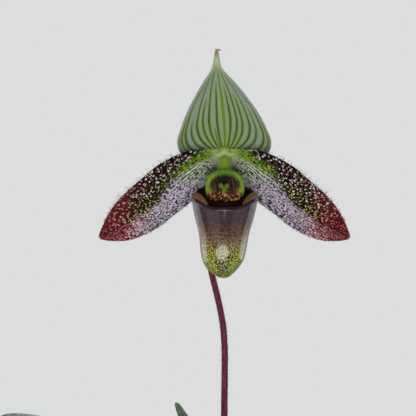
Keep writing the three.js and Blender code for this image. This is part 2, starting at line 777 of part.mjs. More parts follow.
/** Shield-shaped plate in front of the column. */
function makeShield() {
  const AROUND = 26;
  const RINGS = 6;
  const at = new THREE.Vector3(...SHIELD_AT);
  const place = (share, angle, depth) => {
    const r = share * shieldRadius(angle);
    const rise = r * Math.sin(angle);
    return at.clone().add(new THREE.Vector3(r * Math.cos(angle), -depth + SHIELD_LEAN * rise, rise));
  };
  const vertices = [place(0, 0, shieldRelief(0, 0)), place(0, 0, -SHIELD_THICKNESS)];
  for (let ring = 1; ring <= RINGS; ring++)
    for (let i = 0; i < AROUND; i++) {
      const angle = (2 * Math.PI * i) / AROUND;
      const share = ring / RINGS;
      vertices.push(place(share, angle, shieldRelief(share, angle)));
      vertices.push(place(share, angle, -SHIELD_THICKNESS * (1 - 0.4 * share ** 4)));
    }
  const index = (ring, i, face) => 2 + 2 * ((ring - 1) * AROUND + (i % AROUND)) + face;
  const triangles = [];
  for (let i = 0; i < AROUND; i++) {
    triangles.push(0, index(1, i, 0), index(1, i + 1, 0));
    triangles.push(1, index(1, i + 1, 1), index(1, i, 1));
    for (let ring = 1; ring < RINGS; ring++) {
      const [a, b] = [index(ring, i, 0), index(ring, i + 1, 0)];
      const [d, c] = [index(ring + 1, i, 0), index(ring + 1, i + 1, 0)];
      triangles.push(a, d, c, a, c, b);
      triangles.push(a + 1, c + 1, d + 1, a + 1, b + 1, c + 1);
    }
    const [a, b] = [index(RINGS, i, 0), index(RINGS, i + 1, 0)];
    triangles.push(a, a + 1, b + 1, a, b + 1, b);
  }
  return geometryOf(vertices, triangles);
}

/** Column with its shield, its two anthers and its stigma, grown as one piece. */
function makeColumn() {
  const [x, y, z] = ANTHER_AT;
  const grown = [
    rod(pathThrough(COLUMN_PATH), (t) => valueAt(COLUMN_RADII, t), 12, 8),
    makeShield(),
    ball(ANTHER_RADII, [x, y, z]),
    ball(ANTHER_RADII, [-x, y, z]),
    ball(STIGMA_RADII, STIGMA_AT),
  ];
  return geometryFrom(grown.map(solidOf).reduce((a, b) => a.add(b)));
}

// The whole plant
/** A named mesh with a colour and a roughness. */
function named(name, geometry, [colour, roughness]) {
  const mesh = new THREE.Mesh(
    geometry,
    new THREE.MeshStandardMaterial({ color: colour, roughness, metalness: 0 }),
  );
  mesh.name = name;
  return mesh;
}

const flower = new THREE.Group();
flower.position.set(...FLOWER_AT);
flower.add(
  named("dorsal_sepal", sheet(dorsalSurface, SEPAL_THICKNESS, 12, 18), COLOURS.sepal),
  named("synsepal", sheet(synsepalSurface, SEPAL_THICKNESS, 8, 10), COLOURS.sepal),
  named("petal_right", sheet(petalSurface(1), PETAL_THICKNESS, 8, 18), COLOURS.petal),
  named("petal_left", sheet(petalSurface(-1), PETAL_THICKNESS, 8, 18), COLOURS.petal),
  named("pouch", makePouch(), COLOURS.pouch),
  named("column", makeColumn(), COLOURS.column),
  named("ovary", makeOvary(), COLOURS.scape),
  named("bract", makeBract(), COLOURS.bract),
);

const plant = new THREE.Group();
plant.add(
  named("pot", makePot(), COLOURS.clay),
  named("potting_mix", makeMix(), COLOURS.mix),
  named("rootstock", makeRootstock(), COLOURS.root),
  ...LEAVES.map((leaf, k) =>
    named(`leaf_${k + 1}`, sheet(leafSurface(leaf), LEAF_THICKNESS, 8, 14), COLOURS.leaf),
  ),
  named("scape", makeScape(), COLOURS.scape),
  flower,
);

export default plant;
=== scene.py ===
"""Dresses a slipper orchid in its clay pot: fine meshes, finishes, studio and camera."""

import functools
import logging
import math
from dataclasses import dataclass, field
from enum import Enum
from typing import Callable, ClassVar, Sequence, Union

import bmesh
import bpy
import numpy as np
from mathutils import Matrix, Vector


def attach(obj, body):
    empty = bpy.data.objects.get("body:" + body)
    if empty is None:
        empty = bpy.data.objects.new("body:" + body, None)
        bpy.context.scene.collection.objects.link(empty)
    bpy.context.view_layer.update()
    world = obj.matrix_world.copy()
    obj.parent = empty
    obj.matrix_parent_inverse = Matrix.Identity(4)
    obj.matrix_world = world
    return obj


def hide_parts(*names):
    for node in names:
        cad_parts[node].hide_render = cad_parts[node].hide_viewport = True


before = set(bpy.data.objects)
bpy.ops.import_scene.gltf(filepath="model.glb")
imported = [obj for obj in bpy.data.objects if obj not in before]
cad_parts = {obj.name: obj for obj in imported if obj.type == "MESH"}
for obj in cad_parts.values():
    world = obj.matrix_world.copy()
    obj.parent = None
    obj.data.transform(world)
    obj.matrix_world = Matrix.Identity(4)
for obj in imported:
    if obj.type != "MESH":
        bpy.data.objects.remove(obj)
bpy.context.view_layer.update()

LOG = logging.getLogger("orchid")
MM = 0.001
BODY = "root"
FLOWER_AT = np.array([0.2, -14.0, 275.0])
WELD = 2e-4
THINNING = np.array([0.04, 0.14, 0.3, 0.55, 0.8])
ASIDE = np.array([0.3, 0.9, 0.31])
HAIR_SIDES = ((0, 1), (1, 2), (2, 0))

Array = np.ndarray
Row = tuple[float, ...]
Rows = tuple[Row, ...]
Surface = Callable[[Array, Array], Array]


# Numbers and curves


def hue(code: str) -> tuple[float, ...]:
    """Turn a colour written as RRGGBB into linear red, green and blue."""
    parts = [int(code[k : k + 2], 16) / 255 for k in (0, 2, 4)]
    return tuple(p / 12.92 if p <= 0.04045 else ((p + 0.055) / 1.055) ** 2.4 for p in parts)


def mix(a: Array, b: Array, share: Array) -> Array:
    """Blend from a to b by a share from 0 to 1."""
    return a + (b - a) * share


def rise(low: float, high: float, x: Array) -> Array:
    """Rise smoothly from 0 at low to 1 at high."""
    t = np.clip((np.asarray(x, float) - low) / (high - low), 0, 1)
    return t * t * (3 - 2 * t)


def fall(low: float, high: float, x: Array) -> Array:
    """Fall smoothly from 1 at low to 0 at high."""
    return 1 - rise(low, high, x)


def swell(middle: float, width: float, x: Array) -> Array:
    """Give a bump of height 1 at middle, about as wide as width."""
    return np.exp(-(((np.asarray(x, float) - middle) / width) ** 2))


def unit(vectors: Array) -> Array:
    """Scale vectors to length 1."""
    return vectors / np.maximum(np.linalg.norm(vectors, axis=-1, keepdims=True), 1e-12)


def point(*parts: Array) -> Array:
    """Stack coordinates of any shape into points."""
    return np.stack(np.broadcast_arrays(*parts), axis=-1)


def circle(sides: int) -> Array:
    """Give evenly spaced angles round a full turn."""
    return 2 * np.pi * np.arange(sides) / sides


def distances(path: Array) -> Array:
    """Give the length of a path up to each of its places."""
    return np.concatenate([[0], np.cumsum(np.linalg.norm(np.diff(path, axis=0), axis=1))])


def along(rows: Sequence, t: Array) -> Array:
    """Follow a smooth curve through evenly spaced rows of numbers.

    Args:
        rows: The rows, each a number or a list of numbers.
        t: Places on the curve, from 0 to 1.

    Returns:
        The numbers at each place, with a last axis where rows has one.
    """
    table = np.asarray(rows, float)
    last = len(table) - 1
    place = np.clip(np.asarray(t, float), 0, 1) * last
    i = np.minimum(place.astype(int), last - 1)
    f = (place - i).reshape(place.shape + (1,) * (table.ndim - 1))
    padded = np.concatenate([[2 * table[0] - table[1]], table, [2 * table[-1] - table[-2]]])
    before, a, b, after = (padded[i + k] for k in range(4))
    slope_a, slope_b = (b - before) / 2, (after - a) / 2
    square, cube = 3 * (b - a) - 2 * slope_a - slope_b, 2 * (a - b) + slope_a + slope_b
    return a + slope_a * f + square * f**2 + cube * f**3


def facing(surface: Surface, u: Array, v: Array) -> Array:
    """Find which way a surface faces.

    Args:
        surface: The surface, which takes u from -1 to 1 and v from 0 to 1.
        u: Places across it.
        v: Places along it.

    Returns:
        A unit vector at each place.
    """
    tiny = 1e-3
    across = surface(np.minimum(u + tiny, 1), v) - surface(np.maximum(u - tiny, -1), v)
    lengthwise = surface(u, np.minimum(v + tiny, 1)) - surface(u, np.maximum(v - tiny, 0))
    return unit(np.cross(across, lengthwise))


# Meshes


def placed(name: str, data: bpy.types.ID) -> bpy.types.Object:
    """Put a mesh, light or camera in the scene.

    Args:
        name: The object's name.
        data: What it holds.

    Returns:
        The object.
    """
    made = bpy.data.objects.new(name, data)
    bpy.context.scene.collection.objects.link(made)
    return made


@dataclass
class Skin:
    """Faces gathered in millimetres before they become one Blender mesh."""

    points: list[Array] = field(default_factory=list)
    faces: list[Array] = field(default_factory=list)
    share: list[Array] = field(default_factory=list)
    flat: list[Array] = field(default_factory=list)
    finish: list[Array] = field(default_factory=list)
    count: int = 0

    def add_points(self, points: Array) -> int:
        """Add corners.

        Args:
            points: The corners' places.

        Returns:
            The number of the first.
        """
        self.points.append(points.reshape(-1, 3))
        first, self.count = self.count, self.count + len(self.points[-1])
        return first

    def add_faces(self, faces: Array, share: Array, flat: Array, finish: int = 0) -> None:
        """Add faces that all have the same number of corners.

        Args:
            faces: The numbers of the corners, one row a face.
            share: Two coordinates for each corner of each face.
            flat: Two coordinates in millimetres for each corner of each face.
            finish: Which of the piece's finishes the faces take.
        """
        self.faces.append(faces)
        self.share.append(share.reshape(-1, 2))
        self.flat.append(flat.reshape(-1, 2))
        self.finish.append(np.full(len(faces), finish))

    def add_grid(
        self,
        points: Array,
        share: Array,
        flat: Array,
        finish: int = 0,
        ring: bool = False,
        flip: bool = False,
    ) -> None:
        """Add a grid of four-cornered faces.

        Args:
            points: Rows and columns of places.
            share: Two coordinates for each place; a ring has one column more.
            flat: Two coordinates in millimetres, laid out as share is.
            finish: Which of the piece's finishes the faces take.
            ring: Whether the last column joins the first.
            flip: Whether the faces turn the other way.
        """
        rows, columns = points.shape[:2]
        first = self.add_points(points)
        wide = columns if ring else columns - 1
        j, i = np.meshgrid(np.arange(rows - 1), np.arange(wide), indexing="ij")
        steps = [(0, 0), (0, 1), (1, 1), (1, 0)][:: -1 if flip else 1]
        corners = np.stack([(j + dj) * columns + (i + di) % columns for dj, di in steps], -1)
        share, flat = (
            np.stack([table[j + dj, i + di] for dj, di in steps], 2) for table in (share, flat)
        )
        self.add_faces(first + corners.reshape(-1, 4), share, flat, finish)

    def add_fan(
        self, centre: Array, ring: Array, share: Array, flat: Array, finish: int = 0
    ) -> None:
        """Close a ring of points with triangles to a centre.

        Args:
            centre: The centre's place.
            ring: The ring's places in order.
            share: Two coordinates that every corner takes.
            flat: Two coordinates in millimetres that every corner takes.
            finish: Which of the piece's finishes the faces take.
        """
        sides = len(ring)
        k = self.add_points(np.vstack([ring, centre])) + np.arange(sides + 1)
        faces = np.stack([np.full(sides, k[-1]), k[:-1], np.roll(k[:-1], -1)], 1)
        share, flat = (np.broadcast_to(pair, (sides, 3, 2)) for pair in (share, flat))
        self.add_faces(faces, share, flat, finish)

    def add_rings(
        self,
        points: Array,
        share: Array,
        flat: Array,
        finish: int = 0,
        flip: bool = False,
        ends: tuple[Array | None, Array | None] = (None, None),
    ) -> None:
        """Add rows of points that each close into a ring, and the caps at their ends.

        Args:
            points: Rows and columns of places.
            share: Two coordinates for each place, with one column more.
            flat: Two coordinates in millimetres, laid out as share is.
            finish: Which of the piece's finishes the faces take.
            flip: Whether the faces turn the other way.
            ends: The middle of the cap before the first row and after the last, or none.
        """
        self.add_grid(points, share, flat, finish, ring=True, flip=flip)
        for row, centre, turned in ((0, ends[0], not flip), (-1, ends[1], flip)):
            if centre is not None:
                ring = points[row][::-1] if turned else points[row]
                self.add_fan(centre, ring, share[row, 0], flat[row, 0], finish)

    def mesh(self, name: str, weld: float = WELD) -> bpy.types.Mesh:
        """Make one Blender mesh of the faces.

        Args:
            name: The mesh's name.
            weld: How close, in millimetres, corners are to be made one.

        Returns:
            The mesh, in metres.
        """
        made = bpy.data.meshes.new(name)
        faces = [row for block in self.faces for row in block.tolist()]
        made.from_pydata((np.vstack(self.points) * MM).tolist(), [], faces)
        for layer, blocks in (("share", self.share), ("flat", self.flat)):
            pairs = np.vstack(blocks).astype(np.float32).ravel()
            made.uv_layers.new(name=layer).data.foreach_set("uv", pairs)
        finishes = np.concatenate(self.finish).astype(np.int32)
        made.polygons.foreach_set("material_index", finishes)
        if weld:
            shape = bmesh.new()
            shape.from_mesh(made)
            bmesh.ops.remove_doubles(shape, verts=shape.verts, dist=weld * MM)
            shape.to_mesh(made)
            shape.free()
        return made

    def piece(
        self,
        name: str,
        finishes: Sequence["Finish"],
        slot: str,
        replaces: str = "",
        weld: float = WELD,
    ) -> bpy.types.Object:
        """Make the gathered faces a piece of the object.

        Args:
            name: The piece's name.
            finishes: Its finishes, in the order that the faces count them.
            slot: The record's material slot that it stands for; not used.
            replaces: The plain solid that it stands for, if there is one.
            weld: How close, in millimetres, corners are to be made one.

        Returns:
            The Blender object, riding on its body.
        """
        mesh = self.mesh(name, weld)
        for finish in finishes:
            mesh.materials.append(finish.material())
        mesh.shade_smooth()
        mesh.update()
        made = placed(name, mesh)
        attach(made, BODY)
        if replaces:
            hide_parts(replaces)
        LOG.info("%s: %d faces", name, len(mesh.polygons))
        return made


@dataclass
class Sheet:
    """A thin closed sheet about a surface, thinned out to nothing at its margins."""

    surface: Surface
    thickness: float
    across: int
    lengthwise: int
    width: Callable[[Array], Array]
    length: float
    mirror: float = 1.0
    ease: float = 0.06
    end_ease: float = 0.012

    def _places(self, low: float, high: float, count: int, ease: float) -> Array:
        """Give evenly spaced places with closer ones where the sheet thins out."""
        even = np.linspace(low, high, count + 1)
        return np.unique(np.concatenate([even, low + ease * THINNING, high - ease * THINNING]))

    def skin(self, skin: Skin | None = None, front: int = 0, back: int = 1) -> Skin:
        """Build the sheet's two faces.

        Args:
            skin: The faces to add to, or none for new ones.
            front: The finish of the side that the surface faces.
            back: The finish of the other side.

        Returns:
            The gathered faces.
        """
        skin = skin or Skin()
        u, v = np.meshgrid(
            self._places(-1, 1, self.across, self.ease),
            self._places(0, 1, self.lengthwise, self.end_ease),
        )
        middle, normal = self.surface(u, v), facing(self.surface, u, v)
        side = np.clip((np.abs(u) - 1) / self.ease + 1, 0, 1)
        end = np.clip((np.abs(2 * v - 1) - 1) / (2 * self.end_ease) + 1, 0, 1)
        depth = self.thickness / 2 * np.sqrt((1 - side**2) * (1 - end**2))
        offset = depth[..., None] * normal
        share = point(u * self.mirror, v)
        flat = point(u * self.mirror * self.width(v), v * self.length)
        skin.add_grid(middle + offset, share, flat, front)
        skin.add_grid(middle - offset, share, flat, back, flip=True)
        return skin


def transported(path: Array) -> tuple[Array, Array, Array]:
    """Carry a pair of side directions along a path without twisting them.

    Args:
        path: Places along the path.

    Returns:
        The tangents, first sides and second sides at each place.
    """
    tangents = unit(np.gradient(path, axis=0))
    sides = [unit(np.cross(tangents[0], ASIDE))]
    for tangent in tangents[1:]:
        sides.append(unit(sides[-1] - tangent * sides[-1].dot(tangent)))
    first = np.array(sides)
    return tangents, first, np.cross(tangents, first)


def add_rod(skin: Skin, path: Array, radius: Array, finish: int = 0) -> None:
    """Add a closed rod along a path.

    Args:
        skin: The faces to add to.
        path: Places along the rod.
        radius: One row of radii at each place, one for each side.
        finish: The rod's finish.
    """
    sides = radius.shape[1]
    angle = circle(sides)[None, :, None]
    _, first, second = transported(path)
    ring = first[:, None] * np.cos(angle) + second[:, None] * np.sin(angle)
    points = path[:, None] + radius[..., None] * ring
    lengths = distances(path)[:, None]
    turn = np.arange(sides + 1)[None, :] / sides
    share = point(turn, lengths / lengths[-1])
    flat = point(turn * 2 * np.pi * radius.mean(), lengths)
    skin.add_rings(points, share, flat, finish, ends=(path[0], path[-1]))


def add_ball(
    skin: Skin, centre: Array, radii: Array, finish: int = 0, rough: float = 0.0, seed: int = 0
) -> None:
    """Add a stretched ball whose surface may be lumpy.

    Args:
        skin: The faces to add to.
        centre: The ball's middle.
        radii: Its three radii.
        finish: The ball's finish.
        rough: How lumpy it is, as a share of its radius.
        seed: Where its lumps come from.
    """
    sides, rows = 20, 12
    turn, tilt = circle(sides), np.pi * np.arange(1, rows)[:, None] / rows
    way = point(np.sin(tilt) * np.cos(turn), np.sin(tilt) * np.sin(turn), np.cos(tilt))
    random = np.random.default_rng(seed)
    waves = random.normal(size=(5, 3)) * 3
    lump = 1 + rough * np.sin(way @ waves.T + random.uniform(0, 6, 5)).mean(-1)
    points = centre + way * lump[..., None] * radii
    share = point(np.arange(sides + 1)[None, :] / sides, tilt / np.pi)
    pole = np.array([0, 0, radii[2]])
    skin.add_rings(points, share, share * 6, finish, True, (centre + pole, centre - pole))


@dataclass
class Hairs:
    """Fine tapering hairs, each a three-sided mesh of its own."""

    roots: Array
    ways: Array
    lengths: Array
    thickness: float
    curl: float
    seed: int
    segments: ClassVar[int] = 3
    taper: ClassVar[float] = 0.75

    def skin(self, skin: Skin | None = None) -> Skin:
        """Build the hairs.

        Args:
            skin: The faces to add to, or none for new ones.

        Returns:
            The gathered faces.
        """
        skin = skin or Skin()
        random = np.random.default_rng(self.seed)
        count = len(self.roots)
        first = unit(np.cross(self.ways, random.normal(size=(count, 3))))
        second = np.cross(self.ways, first)
        bend = unit(random.normal(size=(count, 3))) * self.curl
        rings = []
        for t in np.arange(self.segments) / self.segments:
            centre = self.roots + (self.ways * t + bend * t * t) * self.lengths[:, None]
            radius = self.thickness / 2 * (1 - self.taper * t)
            for turn in circle(3):
                rings.append(centre + radius * (first * np.cos(turn) + second * np.sin(turn)))
        rings.append(self.roots + (self.ways + bend) * self.lengths[:, None])
        start = skin.add_points(np.stack(rings, 1)) + np.arange(count) * len(rings)
        tip = len(rings) - 1
        lower = [(k + a, k + b) for k in range(0, tip - 3, 3) for a, b in HAIR_SIDES]
        rods = [[a, b, b + 3, a + 3] for a, b in lower]
        ends = [[tip - 3 + a, tip - 3 + b, tip] for a, b in HAIR_SIDES] + [[2, 1, 0]]
        for corners in (np.array(rods), np.array(ends)):
            faces = (start[:, None, None] + corners).reshape(-1, corners.shape[1])
            height = corners // 3 / self.segments
            share = np.broadcast_to(point(0 * height, height), (count, *height.shape, 2))
            skin.add_faces(faces, share, share)
        return skin


# Shader graphs


Term = Union["Signal", float]


class Cells(Enum):
    """What a pattern of cells gives: how far a middle or an edge is, or each cell's own tone."""

    MIDDLE = ("F1", "Distance")
    EDGE = ("DISTANCE_TO_EDGE", "Distance")
    TONE = ("F1", "Color")


@dataclass(frozen=True)
class Signal:
    """The output of a shader node, which takes part in sums as a number does."""

    graph: "Graph"
    socket: bpy.types.NodeSocket

    def _maths(self, operation: str, *terms: Term) -> "Signal":
        """Add a Math node for one operation."""
        return self.graph.node("ShaderNodeMath", {"operation": operation}, dict(enumerate(terms)))

    def __add__(self, other: Term) -> "Signal":
        """Add."""
        return self._maths("ADD", self, other)

    __radd__ = __add__

    def __sub__(self, other: Term) -> "Signal":
        """Subtract."""
        return self._maths("SUBTRACT", self, other)

    def __rsub__(self, other: Term) -> "Signal":
        """Subtract from a number."""
        return self._maths("SUBTRACT", other, self)

    def __mul__(self, other: Term) -> "Signal":
        """Multiply."""
        return self._maths("MULTIPLY", self, other)

    __rmul__ = __mul__

    def __truediv__(self, other: Term) -> "Signal":
        """Divide."""
        return self._maths("DIVIDE", self, other)

    def __abs__(self) -> "Signal":
        """Drop the sign."""
        return self._maths("ABSOLUTE", self)

    def __or__(self, other: Term) -> "Signal":
        """Take the greater."""
        return self._maths("MAXIMUM", self, other)

    def sine(self) -> "Signal":
        """Take the sine."""
        return self._maths("SINE", self)

    def rise(self, low: Term, high: Term) -> "Signal":
        """Rise smoothly from 0 at low to 1 at high."""
        inputs = {"Value": self, "From Min": low, "From Max": high}
        return self.graph.node("ShaderNodeMapRange", {"interpolation_type": "SMOOTHSTEP"}, inputs)

    def fall(self, low: Term, high: Term) -> "Signal":
        """Fall smoothly from 1 at low to 0 at high."""
        return 1 - self.rise(low, high)

    def near(self, middle: Term, inside: float, outside: float) -> "Signal":
        """Give 1 within inside of a value and 0 beyond outside of it."""
        return abs(self - middle).fall(inside, outside)


Tint = Union[Signal, str]


def greatest(signals: Sequence[Signal]) -> Signal:
    """Take the greatest of several signals."""
    return functools.reduce(Signal.__or__, signals)


@dataclass(frozen=True)
class Graph:
    """The nodes of one material or world."""

    tree: bpy.types.NodeTree

    @staticmethod
    def _find(sockets: Sequence[bpy.types.NodeSocket], key: str | int) -> bpy.types.NodeSocket:
        """Find a socket.

        Args:
            sockets: Where it is looked for.
            key: Its place, identifier or name.

        Returns:
            The socket.
        """
        if isinstance(key, int):
            return sockets[key]
        exact = [s for s in sockets if s.identifier == key]
        return (exact or [s for s in sockets if s.name == key and s.enabled])[0]

    def add(self, kind: str, settings: dict, inputs: dict) -> bpy.types.Node:
        """Add any node.

        Args:
            kind: The node's type.
            settings: Its properties, set first; stops are those of a ramp.
            inputs: The value, colour or link of each socket.

        Returns:
            The node.
        """
        made = self.tree.nodes.new(kind)
        for key, value in settings.items():
            if key == "stops":
                self._set_stops(made.color_ramp, value)
            else:
                setattr(made, key, value)
        for key, value in inputs.items():
            socket = self._find(made.inputs, key)
            if isinstance(value, Signal):
                self.tree.links.new(value.socket, socket)
            else:
                socket.default_value = (*hue(value), 1.0) if isinstance(value, str) else value
        return made

    def node(self, kind: str, settings: dict, inputs: dict, output: str | int = 0) -> Signal:
        """Add any node and give one of its outputs."""
        return Signal(self, self._find(self.add(kind, settings, inputs).outputs, output))

    @staticmethod
    def _set_stops(ramp: bpy.types.ColorRamp, stops: Sequence[tuple[float, str]]) -> None:
        """Give a ramp its stops.

        Args:
            ramp: The ramp.
            stops: Each stop's place and colour, lowest first.
        """
        while len(ramp.elements) < len(stops):
            ramp.elements.new(1.0)
        for element, (place, colour) in zip(ramp.elements, stops):
            element.position, element.color = place, (*hue(colour), 1.0)

    def layer(self, name: str) -> Signal:
        """Read a named pair of surface coordinates."""
        return self.node("ShaderNodeUVMap", {"uv_map": name}, {})

    def share(self) -> tuple[Signal, Signal]:
        """Read how far across and along its piece a place is."""
        return self.parts(self.layer("share"))[:2]

    def place(self) -> Signal:
        """Read the place in the pot's frame, in millimetres."""
        return self.scaled(self.node("ShaderNodeTexCoord", {}, {}, "Object"), (1 / MM,) * 3)

    def parts(self, vector: Signal) -> tuple[Signal, ...]:
        """Split a vector into its three numbers."""
        split = self.add("ShaderNodeSeparateXYZ", {}, {0: vector})
        return tuple(Signal(self, socket) for socket in split.outputs)

    def vectors(self, operation: str, a: Signal, b: Signal | Row) -> Signal:
        """Add a Vector Math node for one operation."""
        return self.node("ShaderNodeVectorMath", {"operation": operation}, {0: a, 1: b})

    def scaled(self, vector: Signal, factors: Row) -> Signal:
        """Scale a vector along each axis."""
        return self.vectors("MULTIPLY", vector, factors)

    def noise(
        self, vector: Signal, scale: float = 1.0, detail: float = 2.0, roughness: float = 0.5
    ) -> Signal:
        """Read smooth noise from 0 to 1.

        Args:
            vector: Where it is read.
            scale: Lumps for each unit of length.
            detail: How many finer layers it has.
            roughness: How strong the finer layers are.

        Returns:
            The noise.
        """
        inputs = {"Vector": vector, "Scale": scale, "Detail": detail, "Roughness": roughness}
        return self.node("ShaderNodeTexNoise", {}, inputs, "Fac")

    def cells(
        self,
        vector: Signal,
        size: tuple[float, float],
        give: Cells = Cells.MIDDLE,
        disorder: float = 1.0,
    ) -> Signal:
        """Read a flat pattern of cells.

        Args:
            vector: Where it is read.
            size: A cell's size along each coordinate.
            give: What the pattern gives.
            disorder: How far the cells stray from even rows.

        Returns:
            The pattern.
        """
        feature, output = give.value
        settings = {"feature": feature, "voronoi_dimensions": "2D"}
        at = self.scaled(vector, (1 / size[0], 1 / size[1], 1.0))
        inputs = {"Vector": at, "Scale": 1.0, "Randomness": disorder}
        return self.node("ShaderNodeTexVoronoi", settings, inputs, output)

    def grains(self, vector: Signal, size: float) -> Signal:
        """Read the distance to the nearest of many scattered grains.

        Args:
            vector: Where it is read.
            size: How far apart the grains are.

        Returns:
            The distance, as a share of their size.
        """
        settings = {"feature": "F1", "voronoi_dimensions": "3D"}
        inputs = {"Vector": vector, "Scale": 1 / size}
        return self.node("ShaderNodeTexVoronoi", settings, inputs, "Distance")

    def warped(self, vector: Signal, scale: float, amount: float) -> Signal:
        """Push coordinates about by noise, a little differently along each axis.

        Args:
            vector: The coordinates.
            scale: The noise's lumps for each unit of length.
            amount: How far it pushes.

        Returns:
            The pushed coordinates.
        """
        inputs = {"Vector": vector, "Scale": scale, "Detail": 1.0}
        colour = self.node("ShaderNodeTexNoise", {}, inputs, "Color")
        push = self.scaled(self.vectors("SUBTRACT", colour, (0.5,) * 3), (amount,) * 3)
        return self.vectors("ADD", vector, push)

    def over(self, colour: Tint, *coats: tuple[Tint, Term]) -> Signal:
        """Lay coats of colour over a colour.

        Args:
            colour: The colour underneath, as a signal or as RRGGBB.
            coats: Each coat's colour and how much of it covers, lowest first.

        Returns:
            The colour on top.
        """
        for coat, share in coats:
            inputs = {"Factor_Float": share, "A_Color": colour, "B_Color": coat}
            colour = self.node("ShaderNodeMix", {"data_type": "RGBA"}, inputs, "Result_Color")
        return colour

    def ramp(self, value: Signal, *stops: tuple[float, str]) -> Signal:
        """Turn a number into a colour by stops written as RRGGBB."""
        return self.node("ShaderNodeValToRGB", {"stops": stops}, {0: value})

    def finish(
        self, colour: Signal, roughness: Term, height: Signal | None = None, **others: Term
    ) -> None:
        """End the graph in its shader.

        Args:
            colour: The base colour.
            roughness: The roughness.
            height: The relief in millimetres, if it has any.
            others: Other values, named as the shader's sockets with underscores.
        """
        inputs = {"Base Color": colour, "Roughness": roughness}
        if height is not None:
            bump = {"Strength": 1.0, "Distance": MM, "Height": height}
            inputs["Normal"] = self.node("ShaderNodeBump", {}, bump)
        inputs |= {key.replace("_", " "): value for key, value in others.items()}
        self.end("ShaderNodeOutputMaterial", self.node("ShaderNodeBsdfPrincipled", {}, inputs))

    def end(self, kind: str, shader: Signal) -> None:
        """Link a shader to the output of a material or world."""
        self.add(kind, {}, {"Surface": shader})


# Finishes


@dataclass(frozen=True)
class Finish:
    """How a surface looks."""

    @functools.cache
    def material(self) -> bpy.types.Material:
        """Make the Blender material, once for each finish.

        Returns:
            The material.
        """
        made = bpy.data.materials.new(type(self).__name__)
        made.use_nodes = True
        made.node_tree.nodes.clear()
        self.paint(Graph(made.node_tree))
        return made

    def paint(self, graph: Graph) -> None:
        """Draw the finish.

        Args:
            graph: The material's nodes.
        """
        raise NotImplementedError


@dataclass(frozen=True)
class Clay(Finish):
    """Unglazed fired clay with salt bloom and a trace of green."""

    def paint(self, graph: Graph) -> None:
        """Draw the finish.

        Args:
            graph: The material's nodes.
        """
        place = graph.place()
        z = graph.parts(place)[2]
        broad = graph.noise(place, 0.035, 4, 0.6)
        grain = graph.noise(place, 1.6, 3, 0.7)
        speck = graph.grains(place, 1.8).fall(0.1, 0.22)
        bloom = graph.noise(graph.warped(place, 0.05, 12), 0.06, 5, 0.65)
        bands = z.near(74, 2, 16) | z.fall(4, 34)
        salt = bloom.rise(0.5, 0.72) * bands * grain.rise(0.3, 0.6)
        moss = graph.noise(place, 0.11, 5, 0.7).rise(0.58, 0.75) * z.near(66, 3, 12)
        rings = graph.noise(graph.scaled(place, (0.01, 0.01, 1.1)), 1, 3)
        colour = graph.over(
            graph.ramp(broad, (0.3, "8e4e34"), (0.5, "a66344"), (0.7, "b87a58")),
            ("d39a72", grain.rise(0.55, 0.8) * 0.35),
            ("6e3826", speck * 0.4),
            ("d9cbb8", salt * 0.6),
            ("5d6a38", moss * 0.55),
        )
        height = rings * 0.16 + grain * 0.14 - speck * 0.08 + salt * 0.08
        graph.finish(colour, 0.82 + 0.12 * grain, height, Specular_IOR_Level=0.25)


@dataclass(frozen=True)
class Bark(Finish):
    """Damp bark chips, each of its own brown."""

    def paint(self, graph: Graph) -> None:
        """Draw the finish.

        Args:
            graph: The material's nodes.
        """
        place = graph.place()
        tone, _ = graph.share()
        layers = graph.noise(graph.scaled(place, (0.5, 0.5, 1.8)), 1, 4, 0.65)
        fibre = graph.noise(place, 2.6, 3, 0.7)
        browns = ((0, "2a1a12"), (0.4, "4a2f20"), (0.75, "6d4a31"), (1, "8a6444"))
        colour = graph.over(
            graph.ramp(tone, *browns),
            ("1d120d", layers.fall(0.36, 0.52) * 0.7),
            ("a27a55", fibre.rise(0.6, 0.8) * 0.3),
        )
        height = layers * 0.5 + fibre * 0.2
        graph.finish(colour, 0.7 + 0.2 * fibre, height, Specular_IOR_Level=0.3)


@dataclass(frozen=True)
class Mottled(Finish):
    """A surface whose one noise gives both its colour and its relief."""

    stops: tuple[tuple[float, str], ...]
    noise: Row
    roughness: float
    relief: float
    sheen: float = 0

    def paint(self, graph: Graph) -> None:
        """Draw the finish.

        Args:
            graph: The material's nodes.
        """
        grain = graph.noise(graph.place(), *self.noise)
        colour = graph.ramp(grain, *self.stops)
        graph.finish(colour, self.roughness, grain * self.relief, Sheen_Weight=self.sheen)


WHITES = ((0.3, "9a9484"), (0.5, "cfcabc"), (0.7, "e6e2d8"))
BROWNS = ((0.3, "4a3322"), (0.55, "7d6041"), (0.75, "a68d67"))
PERLITE = Mottled(WHITES, (2.2, 4, 0.7), 0.9, 0.4)
FELTED_ROOT = Mottled(BROWNS, (1.4, 5, 0.75), 0.92, 0.35, 0.2)
POLLEN = Mottled(((0, "b8922e"), (1, "d9bb5c")), (2.5, 3), 0.5, 0.15)


